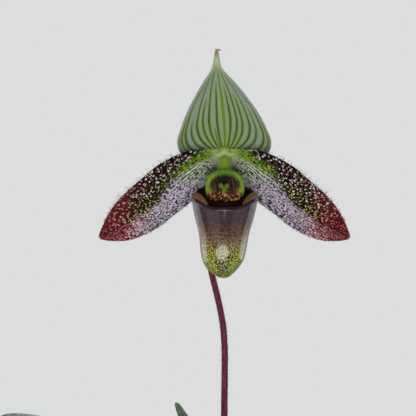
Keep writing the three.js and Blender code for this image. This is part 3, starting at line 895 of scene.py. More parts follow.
@dataclass(frozen=True)
class LeafFace(Finish):
    """Leaf's upper side: dark green blocks in a net of grey-green."""

    block: tuple[float, float] = (3.6, 6.5)
    vein_rate: ClassVar[float] = 5.2

    def paint(self, graph: Graph) -> None:
        """Draw the finish.

        Args:
            graph: The material's nodes.
        """
        u, v = graph.share()
        flat = graph.warped(graph.layer("flat"), 0.14, 3.4)
        tone = graph.parts(graph.cells(flat, self.block, Cells.TONE))[0]
        soft = graph.noise(flat, 0.5, 3)
        net = graph.cells(flat, self.block, Cells.EDGE) + (soft - 0.5) * 0.16
        veins = (graph.parts(graph.layer("flat"))[0] * self.vein_rate).sine().rise(0.55, 1)
        dark = graph.ramp(tone, (0, "16301a"), (0.5, "1f4020"), (1, "355c2e"))
        colour = graph.over(
            "6d8a66",
            (dark, tone.rise(0.16, 0.4)),
            ("7d9878", net.fall(0.02, 0.13) * 0.5),
            ("1b3a1b", veins * 0.22),
            ("9db08a", u.near(0, 0.006, 0.035) * 0.45),
            ("5a3038", v.fall(0, 0.16) * 0.5),
        )
        height = veins * 0.05 + soft * 0.12 - u.near(0, 0, 0.04) * 0.12
        roughness = 0.36 + 0.16 * soft
        graph.finish(colour, roughness, height, Specular_IOR_Level=0.45, Coat_Weight=0.08)


@dataclass(frozen=True)
class LeafBack(Finish):
    """Leaf's underside: pale green, thickly spotted with purple."""

    def paint(self, graph: Graph) -> None:
        """Draw the finish.

        Args:
            graph: The material's nodes.
        """
        u, v = graph.share()
        flat = graph.layer("flat")
        spots = graph.cells(flat, (0.9, 1.3)).fall(0.24, 0.44)
        patch = graph.noise(flat, 0.12, 3).rise(0.36, 0.62)
        veins = (graph.parts(flat)[0] * LeafFace.vein_rate).sine().rise(0.5, 1)
        colour = graph.over(
            "5f7a4c",
            ("3b1d30", spots * patch * 0.85),
            ("42202f", v.fall(0.02, 0.34) * 0.8),
            ("7f9468", veins * 0.18 + u.near(0, 0.01, 0.06) * 0.5),
        )
        graph.finish(colour, 0.5, veins * 0.05 + u.near(0, 0, 0.06) * 0.3)


@dataclass(frozen=True)
class StemSkin(Finish):
    """Dark wine flower stem, a little green where the purple thins."""

    def paint(self, graph: Graph) -> None:
        """Draw the finish.

        Args:
            graph: The material's nodes.
        """
        place = graph.place()
        streak = graph.noise(graph.scaled(place, (2.2, 2.2, 0.35)), 1, 3)
        fine = graph.noise(place, 3.5, 2)
        colour = graph.ramp(streak, (0.32, "431522"), (0.5, "5c2434"), (0.7, "7c3a4c"))
        colour = graph.over(colour, ("8a4458", fine.rise(0.58, 0.75) * 0.5))
        graph.finish(colour, 0.6, fine * 0.12, Specular_IOR_Level=0.12)


@dataclass(frozen=True)
class OvarySkin(Finish):
    """Ribbed ovary: wine furrows on green ribs, paling to cream at the flower."""

    def paint(self, graph: Graph) -> None:
        """Draw the finish.

        Args:
            graph: The material's nodes.
        """
        turn, v = graph.share()
        ribs = (turn * (12 * math.pi)).sine()
        fine = graph.noise(graph.place(), 2.4, 3)
        green = (ribs + fine - 0.5).rise(0, 0.9) * 0.8
        colour = graph.over("4f2430", ("65702f", green), ("b7c58e", v.rise(0.8, 0.97)))
        graph.finish(colour, 0.55, fine * 0.1)


@dataclass(frozen=True)
class BractSkin(Finish):
    """Green bract, spotted with wine along its veins."""

    def paint(self, graph: Graph) -> None:
        """Draw the finish.

        Args:
            graph: The material's nodes.
        """
        u, v = graph.share()
        veins = (u * 34).sine().rise(0.3, 1)
        spots = graph.cells(graph.layer("flat"), (0.6, 1)).fall(0.2, 0.4)
        wine = (spots * 0.7) | (v.rise(0.7, 1) * 0.5)
        colour = graph.over("6f7d3c", ("4a5a26", veins * 0.6), ("4a1c28", wine))
        graph.finish(colour, 0.5, veins * 0.08)


@dataclass(frozen=True)
class Vein:
    """One vein of a sepal: where it runs, where it fades out and how strong it is."""

    at: float
    end: float
    strength: float = 1
    bright: bool = False


@dataclass(frozen=True)
class SepalFace(Finish):
    """Sepal's face: grey-white with a fan of green veins."""

    veins: tuple[Vein, ...]
    ground: str = "838f7c"

    def paint(self, graph: Graph) -> None:
        """Draw the finish.

        Args:
            graph: The material's nodes.
        """
        share = graph.layer("share")
        v = graph.parts(share)[1]
        u = graph.parts(graph.warped(share, 5, 0.03))[0]
        place = graph.place()
        fine = graph.noise(place, 3, 3, 0.6)
        soft = graph.noise(place, 0.25, 2)
        width = 0.034 + 0.045 * v.rise(0.45, 0.85)
        lines, halos, glows = [], [], []
        for vein in self.veins:
            away = abs(u - vein.at) / width
            kept = v.fall(vein.end - 0.1, vein.end + 0.05) * vein.strength
            lines.append(away.fall(0.35, 1.25) * kept)
            halos.append(away.fall(0.7, 2.4) * kept)
            if vein.bright:
                glows.append(lines[-1] * 0.7)
        down = graph.cells(graph.layer("flat"), (0.5, 0.5)).fall(0.12, 0.3)
        line, margin = greatest(lines), abs(u).rise(0.93, 1) * v.rise(0.1, 0.3)
        colour = graph.over(
            self.ground,
            ("84908a", soft.rise(0.4, 0.65) * 0.5),
            ("b4bbb0", (fine.rise(0.5, 0.7) | down) * 0.38),
            ("868ba0", abs(u).rise(0.3, 0.8) * v.fall(0.2, 0.45) * 0.55),
            ("7d9152", v.fall(0.02, 0.2) * abs(u).fall(0.2, 0.7) * 0.85),
            ("b7c590", v.rise(0.58, 0.84) * 0.85),
            ("7d9a2c", greatest(halos) * 0.62),
            ("355400", line * (0.86 + 0.14 * fine.rise(0.4, 0.6))),
            *[("6a9a0c", glow) for glow in glows],
            ("a3a294", margin * 0.6),
            ("a8a37c", v.rise(0.86, 0.94)),
        )
        height = fine * 0.1 - line * 0.12
        graph.finish(colour, 0.55 + 0.1 * fine, height, Specular_IOR_Level=0.08)


@dataclass(frozen=True)
class SepalBack(Finish):
    """Sepal's back: the same veins, duller, with a wine flush at its foot."""

    def paint(self, graph: Graph) -> None:
        """Draw the finish.

        Args:
            graph: The material's nodes.
        """
        u, v, _ = graph.parts(graph.warped(graph.layer("share"), 5, 0.03))
        fine = graph.noise(graph.place(), 3, 3)
        veins = (u * 44).sine().rise(0.35, 1)
        flush = v.fall(0, 0.3) * 0.35 + fine.rise(0.5, 0.8) * 0.12
        colour = graph.over("93a08a", ("4d6b2c", veins * 0.7), ("6b4450", flush))
        graph.finish(colour, 0.6, fine * 0.1 + veins * 0.15, Sheen_Weight=0.15)


@dataclass(frozen=True)
class CrookTip(Finish):
    """Withered brown crook at the sepal's tip."""

    def paint(self, graph: Graph) -> None:
        """Draw the finish.

        Args:
            graph: The material's nodes.
        """
        _, v = graph.share()
        fine = graph.noise(graph.place(), 4, 2)
        browns = ((0.1, "9a9a70"), (0.45, "8a6446"), (0.8, "a5876f"), (1, "c4b3a2"))
        graph.finish(graph.ramp(v + (fine - 0.5) * 0.3, *browns), 0.6, fine * 0.1)


@dataclass(frozen=True)
class HeartSkin(Finish):
    """Cream heart of the flower, greener outwards along fine streaks."""

    def paint(self, graph: Graph) -> None:
        """Draw the finish.

        Args:
            graph: The material's nodes.
        """
        reach, turn = graph.share()
        fine = graph.noise(graph.place(), 2.4, 3)
        streaks = (turn * (2 * math.pi * 26)).sine().rise(0, 0.9)
        colour = graph.over(
            "b4bb7c",
            ("739a1c", (reach + fine * 0.3).rise(0.5, 1.05) * (0.75 + 0.25 * streaks)),
            ("c6c9a4", fine.rise(0.5, 0.75) * reach.fall(0.5, 1) * 0.6),
        )
        graph.finish(colour, 0.6, fine * 0.2 + streaks * 0.02, Specular_IOR_Level=0.1)


@dataclass(frozen=True)
class PetalFace(Finish):
    """Petal's face: green, white and wine under a net and specks of dark maroon."""

    start: float
    island: ClassVar[tuple[float, float]] = (0.64, 1.02)
    speck: ClassVar[tuple[float, float]] = (0.76, 1.1)
    bead: ClassVar[tuple[float, float]] = (0.75, 1.2)

    def paint(self, graph: Graph) -> None:
        """Draw the finish.

        Args:
            graph: The material's nodes.
        """
        w, v = graph.share()
        flat = graph.vectors("ADD", graph.layer("flat"), (self.start, self.start, 0))
        bent = graph.warped(flat, 0.6, 0.7)
        broad = graph.noise(flat, 0.16, 2) - 0.5
        fine = graph.noise(flat, 1.9, 2)
        streaks = (w * 58 + broad * 4).sine().rise(-0.1, 0.8)
        middles = graph.cells(bent, self.island, disorder=0.9)
        tone, other, _ = graph.parts(graph.cells(bent, self.island, Cells.TONE, 0.9))
        beads = graph.cells(bent, self.bead, disorder=0.75) + (fine - 0.5) * 0.3
        beads = beads.fall(0.26, 0.4)

        base = (v + abs(w - 0.12) * 0.3 + broad * 0.3).fall(0.2, 0.46)
        tip = (v + w * 0.16 + broad * 0.25).rise(0.56, 0.86)
        islands = (middles + (fine - 0.5) * 0.6 - tip * 0.08).fall(0.25, 0.39)
        cream = ((0.15, "2a120e"), (0.4, "7a5648"), (0.65, "b4a69c"), (0.9, "e4e0dc"))
        olive = ((0.1, "453c12"), (0.3, "6f7220"), (0.6, "939a38"), (0.9, "c4c290"))
        ember = ((0.1, "560a18"), (0.45, "8c2c36"), (0.75, "ae6458"), (1, "cfa68c"))
        light = graph.over(
            graph.ramp(tone, *olive),
            (graph.ramp(tone, *cream), (w + broad * 0.4 + other * 0.35).rise(0.35, 0.75)),
            (graph.ramp(tone, *ember), tip),
        )
        brown = fine.rise(0.45, 0.65) * w.rise(0.45, 0.8) * v.rise(0.25, 0.5) * 0.7
        foot = graph.over(
            graph.over("7ba018", ("4a7008", streaks * 0.7)),
            ("0f0606", beads * (0.35 + 0.65 * v.rise(0.04, 0.16))),
            # The dark margin band near the base is the petal's own colour; the pale dots on it are
            # painted highlights, glints on its warts and hairs.
            (
                graph.over("10070a", ("d6d4da", islands * tone.rise(0.4, 0.55))),
                w.rise(0.5, 0.8) * v.rise(0.06, 0.16),
            ),
        )
        net = graph.over("0e0405", ("4a0814", tip), ("55301e", brown))
        upside = graph.over(net, (light, islands), (foot, base))

        crest = (w + 0.26).near(0, 0.08, 0.4)
        crowd = graph.noise(bent, 0.42, 2).rise(0.35, 0.65) * 0.14 - crest * 0.07
        crowd = crowd + w.fall(-0.9, -0.5) * 0.03
        specks = graph.cells(bent, self.speck, disorder=0.9) + (fine - 0.5) * 0.4 - crowd
        specks = specks.fall(0.27, 0.38)
        shade, hint, _ = graph.parts(graph.cells(bent, self.speck, Cells.TONE, 0.9))
        lines = graph.cells(bent, self.island, Cells.EDGE, 0.9).fall(0, 0.16)
        plum = graph.over("1e0c24", ("4a1428", fine.rise(0.35, 0.65)))
        cover = (specks * (0.65 + 0.35 * shade.rise(0.1, 0.45))) | (lines * 0.45)
        greyed = fine.rise(0.4, 0.7) * 0.5 + hint * 0.45 * (1 - crest)
        rose = ((0.1, "7c2a3a"), (0.4, "b08a8a"), (0.7, "cdb6b4"), (1, "e2dad6"))
        flecks = graph.over(
            graph.ramp(tone, *rose),
            ("8c3a44", (v + w * 0.12 + broad * 0.2).rise(0.55, 0.8) * 0.8),
        )
        rosy = graph.over("5a1224", (flecks, (middles + (fine - 0.5) * 0.5).fall(0.37, 0.52)))
        striped = graph.over(
            "c6d2b8",
            ("1c2c0b", streaks * 0.92),
            ("0e0806", beads * (w + 0.25).near(0, 0.25, 0.6) * v.rise(0.02, 0.07)),
            # Painted shade: dark brown on the lower half's base, beside the column.
            ("1c130c", w.fall(-0.6, -0.3) * v.near(0.07, 0.02, 0.06) * 0.75),
        )
        under = graph.over(
            "cfcad6",
            ("7f7290", greyed),
            (plum, cover),
            (rosy, (v + w * 0.16 + broad * 0.35).rise(0.36, 0.68)),
            (striped, (v - w * 0.08).fall(0.18, 0.32)),
        )

        upper = w + broad * 0.22 + (fine - 0.5) * 0.45 - v.fall(0.3, 0.5) * 0.26
        upper = upper.rise(-0.06, 0.08)
        # Painted shade: crease is a dark line along the midrib's groove near the tip, where the
        # fold falls in shadow.
        crease = abs(w + 0.02).fall(0.02, 0.07 + 0.13 * v.rise(0.7, 0.9))
        colour = graph.over(
            under,
            (upside, upper),
            ("600c18", (v + w * 0.1).rise(0.72, 0.97) * 0.55),
            ("6e3a26", w.rise(0.84, 1) * v.rise(0.4, 0.65) * 0.6),
            ("0c0306", crease * v.rise(0.55, 0.72) * v.fall(0.95, 0.99)),
            ("b4bf84", v.fall(0, 0.08) * w.rise(-0.25, 0.2) * 0.8),
            ("cfc2b0", v.rise(0.97, 0.99)),
        )
        height = specks * (1 - upper) * 0.1 - islands * upper * 0.16 + fine * 0.1 + streaks * 0.05
        graph.finish(colour, 0.45 + 0.2 * fine, height, Specular_IOR_Level=0.08)


@dataclass(frozen=True)
class PetalBack(Finish):
    """Petal's back: dull rose and green with the spots showing through."""

    def paint(self, graph: Graph) -> None:
        """Draw the finish.

        Args:
            graph: The material's nodes.
        """
        w, v = graph.share()
        spots = graph.cells(graph.layer("flat"), (1.1, 1.5)).fall(0.25, 0.5)
        veins = (w * 40).sine().rise(0.3, 1)
        colour = graph.over(
            "8d9462",
            ("8a4a52", v.rise(0.25, 0.75)),
            ("a79aa0", w.fall(-0.5, 0) * 0.5),
            ("451c28", spots * 0.5),
            ("5d6a34", veins * 0.35),
        )
        graph.finish(colour, 0.55, veins * 0.12)


@dataclass(frozen=True)
class PouchOutside(Finish):
    """Pouch's outside: purple-brown above, speckled yellow-green at its toe, its pale sides partly
    painted rim light, with painted gloss and glints near its lip.
    """

    toe_height: float = 229.5
    depth: float = 29

    def paint(self, graph: Graph) -> None:
        """Draw the finish.

        Args:
            graph: The material's nodes.
        """
        turn, up = graph.share()
        z = graph.parts(graph.place())[2]
        flat = graph.layer("flat")
        bent = graph.warped(flat, 0.6, 0.6)
        broad = graph.noise(flat, 0.22, 2) - 0.5
        fine = graph.noise(flat, 2.2, 3, 0.65)
        level = (z - self.toe_height) / self.depth + broad * 0.12
        side = abs(turn) * 180 + broad * 12
        veil = graph.cells(bent, (0.9, 2.6), Cells.EDGE).fall(0.02, 0.16)
        crowd = (graph.noise(bent, 0.3, 2) - 0.5) * 0.4
        middle = side.fall(10, 34) * level.near(0.16, 0.06, 0.16)
        spots = graph.cells(bent, (0.88, 0.9)) + (fine - 0.5) * 0.5 + crowd - middle * 0.18
        spots = spots.fall(0.31, 0.4)
        toe = ((0, "95a43c"), (0.2, "acaf34"), (0.34, "988636"))
        brow = ((0.47, "6a4a32"), (0.62, "3e262c"), (1, "2b1a24"))
        ochre = fine.rise(0.52, 0.62) * level.near(0.54, 0.08, 0.2)
        # Painted reflection: mottled pale violet patches of gloss over the top of the pouch, also
        # raised a little.
        painted_gloss = graph.noise(bent, 0.7, 4, 0.65).rise(0.52, 0.68) * level.rise(0.66, 0.8)
        # Painted highlight: pale violet glints under the lip, right of the middle.
        sheen = abs(turn - 0.1).fall(0.03, 0.12) * level.near(0.93, 0.05, 0.1)
        # Pale sides: partly paler flesh, partly painted rim light where the side lamps graze the
        # pouch.
        pale = graph.over(
            "b4b8b2",
            ("aab884", level.fall(0.05, 0.4)),
            ("4c2c3a", veil * 0.3 + spots * 0.15),
        )
        # Painted rim light at the silhouette, darker towards the top.
        flank_and_rim_light = graph.over(pale, ("5a3646", level.rise(0.6, 0.9) * 0.5))
        # The coats below include painted light: gloss patches, glints under the lip and the pale,
        # rim-lit sides.
        colour = graph.over(
            graph.ramp(level - side.rise(20, 55) * 0.08, *toe, *brow),
            ("1c060c", spots * level.rise(-0.04, 0.04) * level.fall(0.62, 0.8)),
            ("8f6e3e", ochre * 0.75),
            ("6f667e", painted_gloss * 0.4),
            ("8682a0", sheen * fine.rise(0.35, 0.55) * 0.75),
            ("5a4552", veil * level.rise(0.6, 0.85) * 0.35),
            ("8d8599", turn.near(0, 0.004, 0.02) * level.rise(0.66, 0.85) * 0.35),
            (pale, side.rise(56, 72) * level.fall(0.85, 1.05) * 0.9),
            (flank_and_rim_light, side.rise(78, 100)),
            ("2c0a0f", up.rise(1.5, 1.7)),
        )
        coat = {
            "Coat_Weight": up.fall(1.25, 1.5) * (0.34 + 0.4 * level.fall(0.35, 0.62)),
            "Coat_Roughness": 0.15,
            "Coat_IOR": 1.9,
        }
        height = fine * 0.1 + veil * 0.03 + painted_gloss * 0.12
        graph.finish(colour, 0.45 + 0.14 * fine, height, Specular_IOR_Level=0.12, **coat)


@dataclass(frozen=True)
class EarSkin(Finish):
    """Smooth tan flesh of the ears, finely dotted and darker at its edge."""

    def paint(self, graph: Graph) -> None:
        """Draw the finish.

        Args:
            graph: The material's nodes.
        """
        u, v = graph.share()
        flat = graph.layer("flat")
        fine = graph.noise(flat, 1.6, 3)
        colour = graph.over(
            "60401f",
            ("7c5833", fine.rise(0.3, 0.7)),
            ("3c1f14", graph.cells(flat, (0.4, 0.4)).fall(0.1, 0.3) * 0.4),
            ("37180f", (v.fall(0.1, 0.4) | abs(u).rise(0.75, 1)) * 0.55),
        )
        graph.finish(colour, 0.45, fine * 0.08, Specular_IOR_Level=0.2, Coat_Weight=0.1)


@dataclass(frozen=True)
class PouchInside(Finish):
    """Pouch's inside: deep maroon with darker dots, greener up the claw."""

    def paint(self, graph: Graph) -> None:
        """Draw the finish.

        Args:
            graph: The material's nodes.
        """
        turn, up = graph.share()
        flat = graph.layer("flat")
        fine = graph.noise(flat, 2.6, 3, 0.6)
        dots = graph.cells(flat, (0.45, 0.45)).fall(0.16, 0.34)
        colour = graph.over(
            "220d12",
            ("4a3324", fine.rise(0.35, 0.75) * 0.6),
            ("5e5a30", up.rise(1.5, 2) * abs(turn).rise(0.76, 0.86) * 0.7),
            ("26090f", dots * 0.6),
        )
        graph.finish(colour, 0.5, fine * 0.06 + dots * 0.05, Specular_IOR_Level=0.2)


@dataclass(frozen=True)
class ShieldFace(Finish):
    """Shield: a green horseshoe round a dark net, over a yellow foot with red blotches."""

    lumps: Rows = ((-1.35, -0.1, 0.75), (0.75, -0.2, 0.75), (-0.3, -1.2, 1))

    def paint(self, graph: Graph) -> None:
        """Draw the finish.

        Args:
            graph: The material's nodes.
        """
        reach, _ = graph.share()
        flat = graph.layer("flat")
        x, z, _ = graph.parts(flat)
        fine = graph.noise(flat, 2.2, 3)
        wander = graph.noise(flat, 0.9, 1) - 0.5
        blotch = graph.noise(graph.warped(flat, 1, 0.6), 0.9, 2, 0.6)
        lines = (x * 4.6 + wander * 5 + z * 0.8).sine().rise(0.2, 0.9)
        net = graph.over(
            "100808",
            ("7a5a40", lines * fine.rise(0.42, 0.6) * abs(x).near(3.2, 1, 2.2) * 0.7),
            ("6e3a2a", abs(x).rise(2.2, 4.6) * z.fall(-2.2, 1.4) * (0.5 + 0.4 * fine)),
        )
        inner = x * x / 36 + z * z / 18 + wander * 0.3 + (fine - 0.5) * 0.6
        inner = inner.fall(0.58, 1.12)
        below = (z + wander * 0.8 + abs(x) * 0.12).fall(-2.3, -1.5) * abs(x).fall(5.9, 6.6)
        boss = []
        for at_x, at_z, wide in self.lumps:
            east, north = x + (wander * 0.4 - at_x), z - at_z
            boss.append((east * east + north * north * 0.7).fall(0.45 * wide, 1.2 * wide))
        # Painted shade: near black fills the pit above the boss, where it lies in shadow.
        hole = (x + 0.4) * (x + 0.4) * 1.6 + (z - 1) * (z - 1) * 0.8 + wander * 0.2
        dot = x * x * 1.6 + (z + 3.5) * (z + 3.5) * 0.8
        furrow = fine.fall(0.38, 0.5) * z.rise(0.5, 2.5) * abs(x).fall(3, 5.5)
        colour = graph.over(
            "74911a",
            ("567e1e", z.rise(0.6, 4) * x.near(0, 2, 5.4)),
            ("a2ae4a", fine.rise(0.5, 0.75) * 0.4),
            ("2c4a12", furrow * 0.8),
            (net, inner),
            (graph.over("9a9034", ("520612", blotch.rise(0.4, 0.47))), below),
            (graph.over("7c8428", ("4f5a18", fine)), greatest(boss) * 0.95),
            ("080506", hole.fall(0.2, 0.7)),
            ("b9b294", dot.fall(0.06, 0.34) * 0.8),
            ("6c7a2c", reach.rise(0.97, 1) * 0.6),
        )
        height = fine * 0.3 - lines * inner * 0.1
        graph.finish(colour, 0.42 + 0.2 * fine, height, Specular_IOR_Level=0.18)


@dataclass(frozen=True)
class ColumnFlesh(Finish):
    """Waxy yellow-green flesh of the column, brighter at its top."""

    bright_from: float = 268.5
    bright_to: float = 271.5

    def paint(self, graph: Graph) -> None:
        """Draw the finish.

        Args:
            graph: The material's nodes.
        """
        place = graph.place()
        fine = graph.noise(place, 1.8, 3)
        bright = graph.parts(place)[2].rise(self.bright_from, self.bright_to)
        colour = graph.over(
            graph.ramp(fine, (0.3, "5c7c16"), (0.55, "719218"), (0.8, "88a234")),
            ("93b032", bright * 0.8),
        )
        graph.finish(colour, 0.42, fine * 0.08, Specular_IOR_Level=0.3, Coat_Weight=0.08)


@dataclass(frozen=True)
class HairTint(Finish):
    """Hair that pales from its root to its end."""

    root: str
    end: str

    def paint(self, graph: Graph) -> None:
        """Draw the finish.

        Args:
            graph: The material's nodes.
        """
        _, height = graph.share()
        graph.finish(graph.over(self.root, (self.end, height)), 0.5)


DARK_HAIR = HairTint("1c0d12", "4a3038")
PALE_HAIR = HairTint("7a7468", "c9c4b6")
WINE_HAIR = HairTint("4a1826", "7c4254")


@dataclass(frozen=True)
class FloorPaint(Finish):
    """Pale floor that fades into the surroundings."""

    fade_from: float = 150
    fade_to: float = 560

    def paint(self, graph: Graph) -> None:
        """Draw the finish.

        Args:
            graph: The material's nodes.
        """
        length = {"operation": "LENGTH"}
        away = graph.node("ShaderNodeVectorMath", length, {0: graph.place()}, "Value")
        paint = graph.node("ShaderNodeBsdfDiffuse", {}, {"Color": "e6e8e8"})
        clear = graph.node("ShaderNodeBsdfTransparent", {}, {})
        faded = {0: away.rise(self.fade_from, self.fade_to), 1: paint, 2: clear}
        graph.end("ShaderNodeOutputMaterial", graph.node("ShaderNodeMixShader", {}, faded))


# Pot and what it holds


def polar(radius: Array, turn: Array, z: Array) -> Array:
    """Place points by their distance from the pot's axis, their angle and their height."""
    return point(radius * np.cos(turn), radius * np.sin(turn), z)


def rotation(axis: int, angle: float) -> Array:
    """Give the matrix that turns points about an axis, counted from 0."""
    cos, sin = math.cos(angle), math.sin(angle)
    return np.roll([[1, 0, 0], [0, cos, -sin], [0, sin, cos]], (axis, axis), (0, 1))


def rounded(corners: Rows, steps: int) -> Array:
    """Round the corners of an outline.

    Args:
        corners: Each corner's two coordinates and how far it is rounded.
        steps: How many points a rounded corner takes.

    Returns:
        The outline's points.
    """
    places = np.array([c[:2] for c in corners], float)
    out = [places[0]]
    for k in range(1, len(corners) - 1):
        here, reach = places[k], corners[k][2]
        to_last, to_next = places[k - 1] - here, places[k + 1] - here
        short = min(reach, np.linalg.norm(to_last) / 2, np.linalg.norm(to_next) / 2)
        a, b = here + unit(to_last) * short, here + unit(to_next) * short
        for t in np.linspace(0, 1, steps):
            out.append((1 - t) ** 2 * a + 2 * t * (1 - t) * here + t * t * b)
    return np.array([*out, places[-1]])


@dataclass
class Pot:
    """Tapering clay pot with a band round its rim and three drain holes."""

    height: float = 92
    foot_radius: float = 38
    top_radius: float = 50
    wall: float = 5
    floor: float = 7
    band_bottom: float = 71
    band_proud: float = 3
    drain_radius: float = 5
    drain_ring: float = 21
    drains: int = 3
    sides: int = 168
    row_gap: float = 3
    bore_heights: Row = (-4, -0.2, 0.6, 1.6)
    bore_flare: Row = (1.5, 1.1, 0.4, 0)

    def outside(self, z: float) -> float:
        """Give the pot's outer radius at a height below its band."""
        return self.foot_radius + (self.top_radius - self.foot_radius) * z / self.height

    def inside(self, z: float) -> float:
        """Give the pot's inner radius at a height."""
        return self.outside(z) - self.wall

    def _outline(self) -> Array:
        """Trace the pot's section from the middle of its foot, up, over and down inside.

        Returns:
            The section's points, each a radius and a height.
        """
        band = self.top_radius + self.band_proud
        corners = (
            (0.01, 0.0, 0.0),
            (self.foot_radius, 0.0, 1.8),
            (self.outside(self.band_bottom), self.band_bottom, 1.4),
            (band - 1.0, self.band_bottom + 0.9, 1.5),
            (band, self.height, 2.2),
            (self.inside(self.height), self.height, 2.2),
            (self.inside(self.floor), self.floor, 2.5),
            (0.01, self.floor, 0.0),
        )
        outline = rounded(corners, 7)
        dense = [outline[0]]
        for a, b in zip(outline, outline[1:]):
            parts = max(1, int(np.linalg.norm(b - a) / self.row_gap))
            dense += [a + (b - a) * k / parts for k in range(1, parts + 1)]
        return np.array(dense)

    def build(self) -> bpy.types.Object:
        """Build the pot, turned on a wheel and then pierced.

        Returns:
            The piece.
        """
        outline = self._outline()
        turn = circle(self.sides)
        radius, z = outline[:, :1], outline[:, 1:]
        rings = 0.1 * np.sin(z * 0.55) + 0.07 * np.sin(z * 1.7 + 1)
        wobble = rings + 0.12 * np.sin(2 * turn + z * 0.05)
        mass = rise(3, 30, radius) * rise(1, 8, z) * fall(self.height - 4, self.height, z)
        points = polar(radius + wobble * mass, turn, z)
        share = point(np.linspace(0, 1, self.sides + 1), np.linspace(0, 1, len(outline))[:, None])
        skin = Skin()
        ends = np.array([[0, 0, 0], [0, 0, self.floor]])
        skin.add_rings(points, share, share * 100, ends=ends)
        made = skin.piece("clay_pot", [Clay()], "clay", "pot")
        drills = [self._drill(turn + math.pi / 2) for turn in circle(self.drains)]
        for drill in drills:
            cut = made.modifiers.new("drain", "BOOLEAN")
            cut.operation, cut.object, cut.solver = "DIFFERENCE", drill, "EXACT"
        graph = bpy.context.evaluated_depsgraph_get()
        pierced = bpy.data.meshes.new_from_object(made.evaluated_get(graph), depsgraph=graph)
        made.modifiers.clear()
        made.data = pierced
        for drill in drills:
            bpy.data.objects.remove(drill)
        return made

    def _drill(self, turn: float) -> bpy.types.Object:
        """Make the flared rod that one drain hole is cut with.

        Args:
            turn: The hole's angle about the pot's axis.

        Returns:
            The rod.
        """
        heights, flare = np.array(self.bore_heights), self.drain_radius + np.array(self.bore_flare)
        z = np.concatenate([heights, self.floor - heights[::-1]])
        radius = np.repeat(np.concatenate([flare, flare[::-1]])[:, None], 40, 1)
        skin = Skin()
        add_rod(skin, polar(self.drain_ring, turn, z), radius)
        return placed("drill", skin.mesh("drill"))


@dataclass
class PottingMix:
    """Bark chips and perlite over a dark filling."""

    pot: Pot
    top: float = 78
    chips: int = 330
    grains: int = 70
    inmost: float = 11.5
    gap: float = 0.35
    filling_depth: float = 2.2
    filling_tone: float = 0.12
    seed: int = 29

    def _filling(self) -> Skin:
        """Build the dark, lumpy filling under the chips.

        Returns:
            The gathered faces.
        """
        skin = Skin()
        random = np.random.default_rng(self.seed)
        turn = circle(96)
        waves, phase = random.normal(size=(9, 2)) * 0.5, random.uniform(0, 6, 9)
        edge = self.pot.inside(self.top) - self.gap
        top = polar(np.linspace(0.5, edge, 26)[:, None], turn, self.top - self.filling_depth)
        top[..., 2] += np.sin(top[..., :2] @ waves.T + phase).mean(-1) * 1.6
        foot = self.pot.floor + 0.3
        levels = np.linspace(self.top - 4, foot, 12)[:, None]
        walls = np.concatenate([top[-1:], polar(self.pot.inside(levels) - self.gap, turn, levels)])
        centre = np.array([0, 0, self.top - self.filling_depth])
        for points, ends in ((top, (centre, None)), (walls, (None, np.array([0, 0, foot])))):
            tone = np.full((len(points), len(turn) + 1, 2), self.filling_tone)
            skin.add_rings(points, tone, tone, flip=True, ends=ends)
        return skin

    def _chip(self, size: Array, random: np.random.Generator) -> tuple[Array, Array]:
        """Break one angular chip of a size.

        Args:
            size: Its length, width and height.
            random: Where its shape comes from.

        Returns:
            The chip's points and its faces.
        """
        shape = bmesh.new()
        corners = random.uniform(-0.5, 0.5, (22, 3))
        corners = np.sign(corners) * np.abs(corners * 2) ** 0.45 / 2
        for corner in corners * size:
            shape.verts.new(corner)
        hull = bmesh.ops.convex_hull(shape, input=shape.verts)
        inner = list({*hull["geom_interior"], *hull["geom_unused"]})
        bmesh.ops.delete(shape, geom=inner, context="VERTS")
        whole = {"verts": shape.verts, "edges": shape.edges}
        bmesh.ops.remove_doubles(shape, verts=shape.verts, dist=0.7)
        bmesh.ops.dissolve_limit(shape, angle_limit=0.25, **whole)
        worn = {"offset": 0.28, "segments": 2, "affect": "EDGES", "clamp_overlap": True}
        bmesh.ops.bevel(shape, geom=shape.edges, **worn)
        bmesh.ops.triangulate(shape, faces=shape.faces)
        shape.verts.index_update()
        points = np.array([list(v.co) for v in shape.verts])
        faces = np.array([[v.index for v in f.verts] for f in shape.faces])
        shape.free()
        return points, faces

    def build(self) -> list[bpy.types.Object]:
        """Build the filling, the chips over it and the perlite among them.

        Returns:
            The pieces.
        """
        random = np.random.default_rng(self.seed)
        skin = self._filling()
        outmost = self.pot.inside(self.top)
        golden = math.pi * (3 - math.sqrt(5))
        for k in range(self.chips):
            size = np.array([random.uniform(*span) for span in ((5, 13), (4, 8), (2, 4.5))])
            points, faces = self._chip(size, random)
            tilt, roll = random.uniform(-0.5, 0.5, 2)
            spin = random.uniform(0, 2 * math.pi)
            points = points @ (rotation(0, tilt) @ rotation(1, roll)).T @ rotation(2, spin).T
            reach = np.linalg.norm(points[:, :2], axis=1).max()
            share = (k + 0.5) / self.chips
            r = min(mix(self.inmost + 4, outmost, math.sqrt(share)), outmost - reach - 0.6)
            lift = self.top + random.uniform(-1.0, 2.6) + 1.5 * swell(0.0, 20.0, r)
            tone = np.broadcast_to([random.uniform(0.05, 1), 0], (len(faces), 3, 2))
            first = skin.add_points(points + polar(r, golden * k, lift))
            skin.add_faces(first + faces, tone, tone)
        chips = skin.piece("bark_mix", [Bark()], "bark", "potting_mix", weld=0)
        skin = Skin()
        for k in range(self.grains):
            r = mix(self.inmost + 3, outmost - 3, math.sqrt(random.uniform()))
            turn = random.uniform(0, 2 * math.pi)
            centre = polar(r, turn, self.top + random.uniform(1.2, 3.6))
            add_ball(skin, centre, random.uniform(0.9, 1.9, 3), rough=0.5, seed=k)
        return [chips, skin.piece("perlite_grains", [PERLITE], "bark", weld=0)]


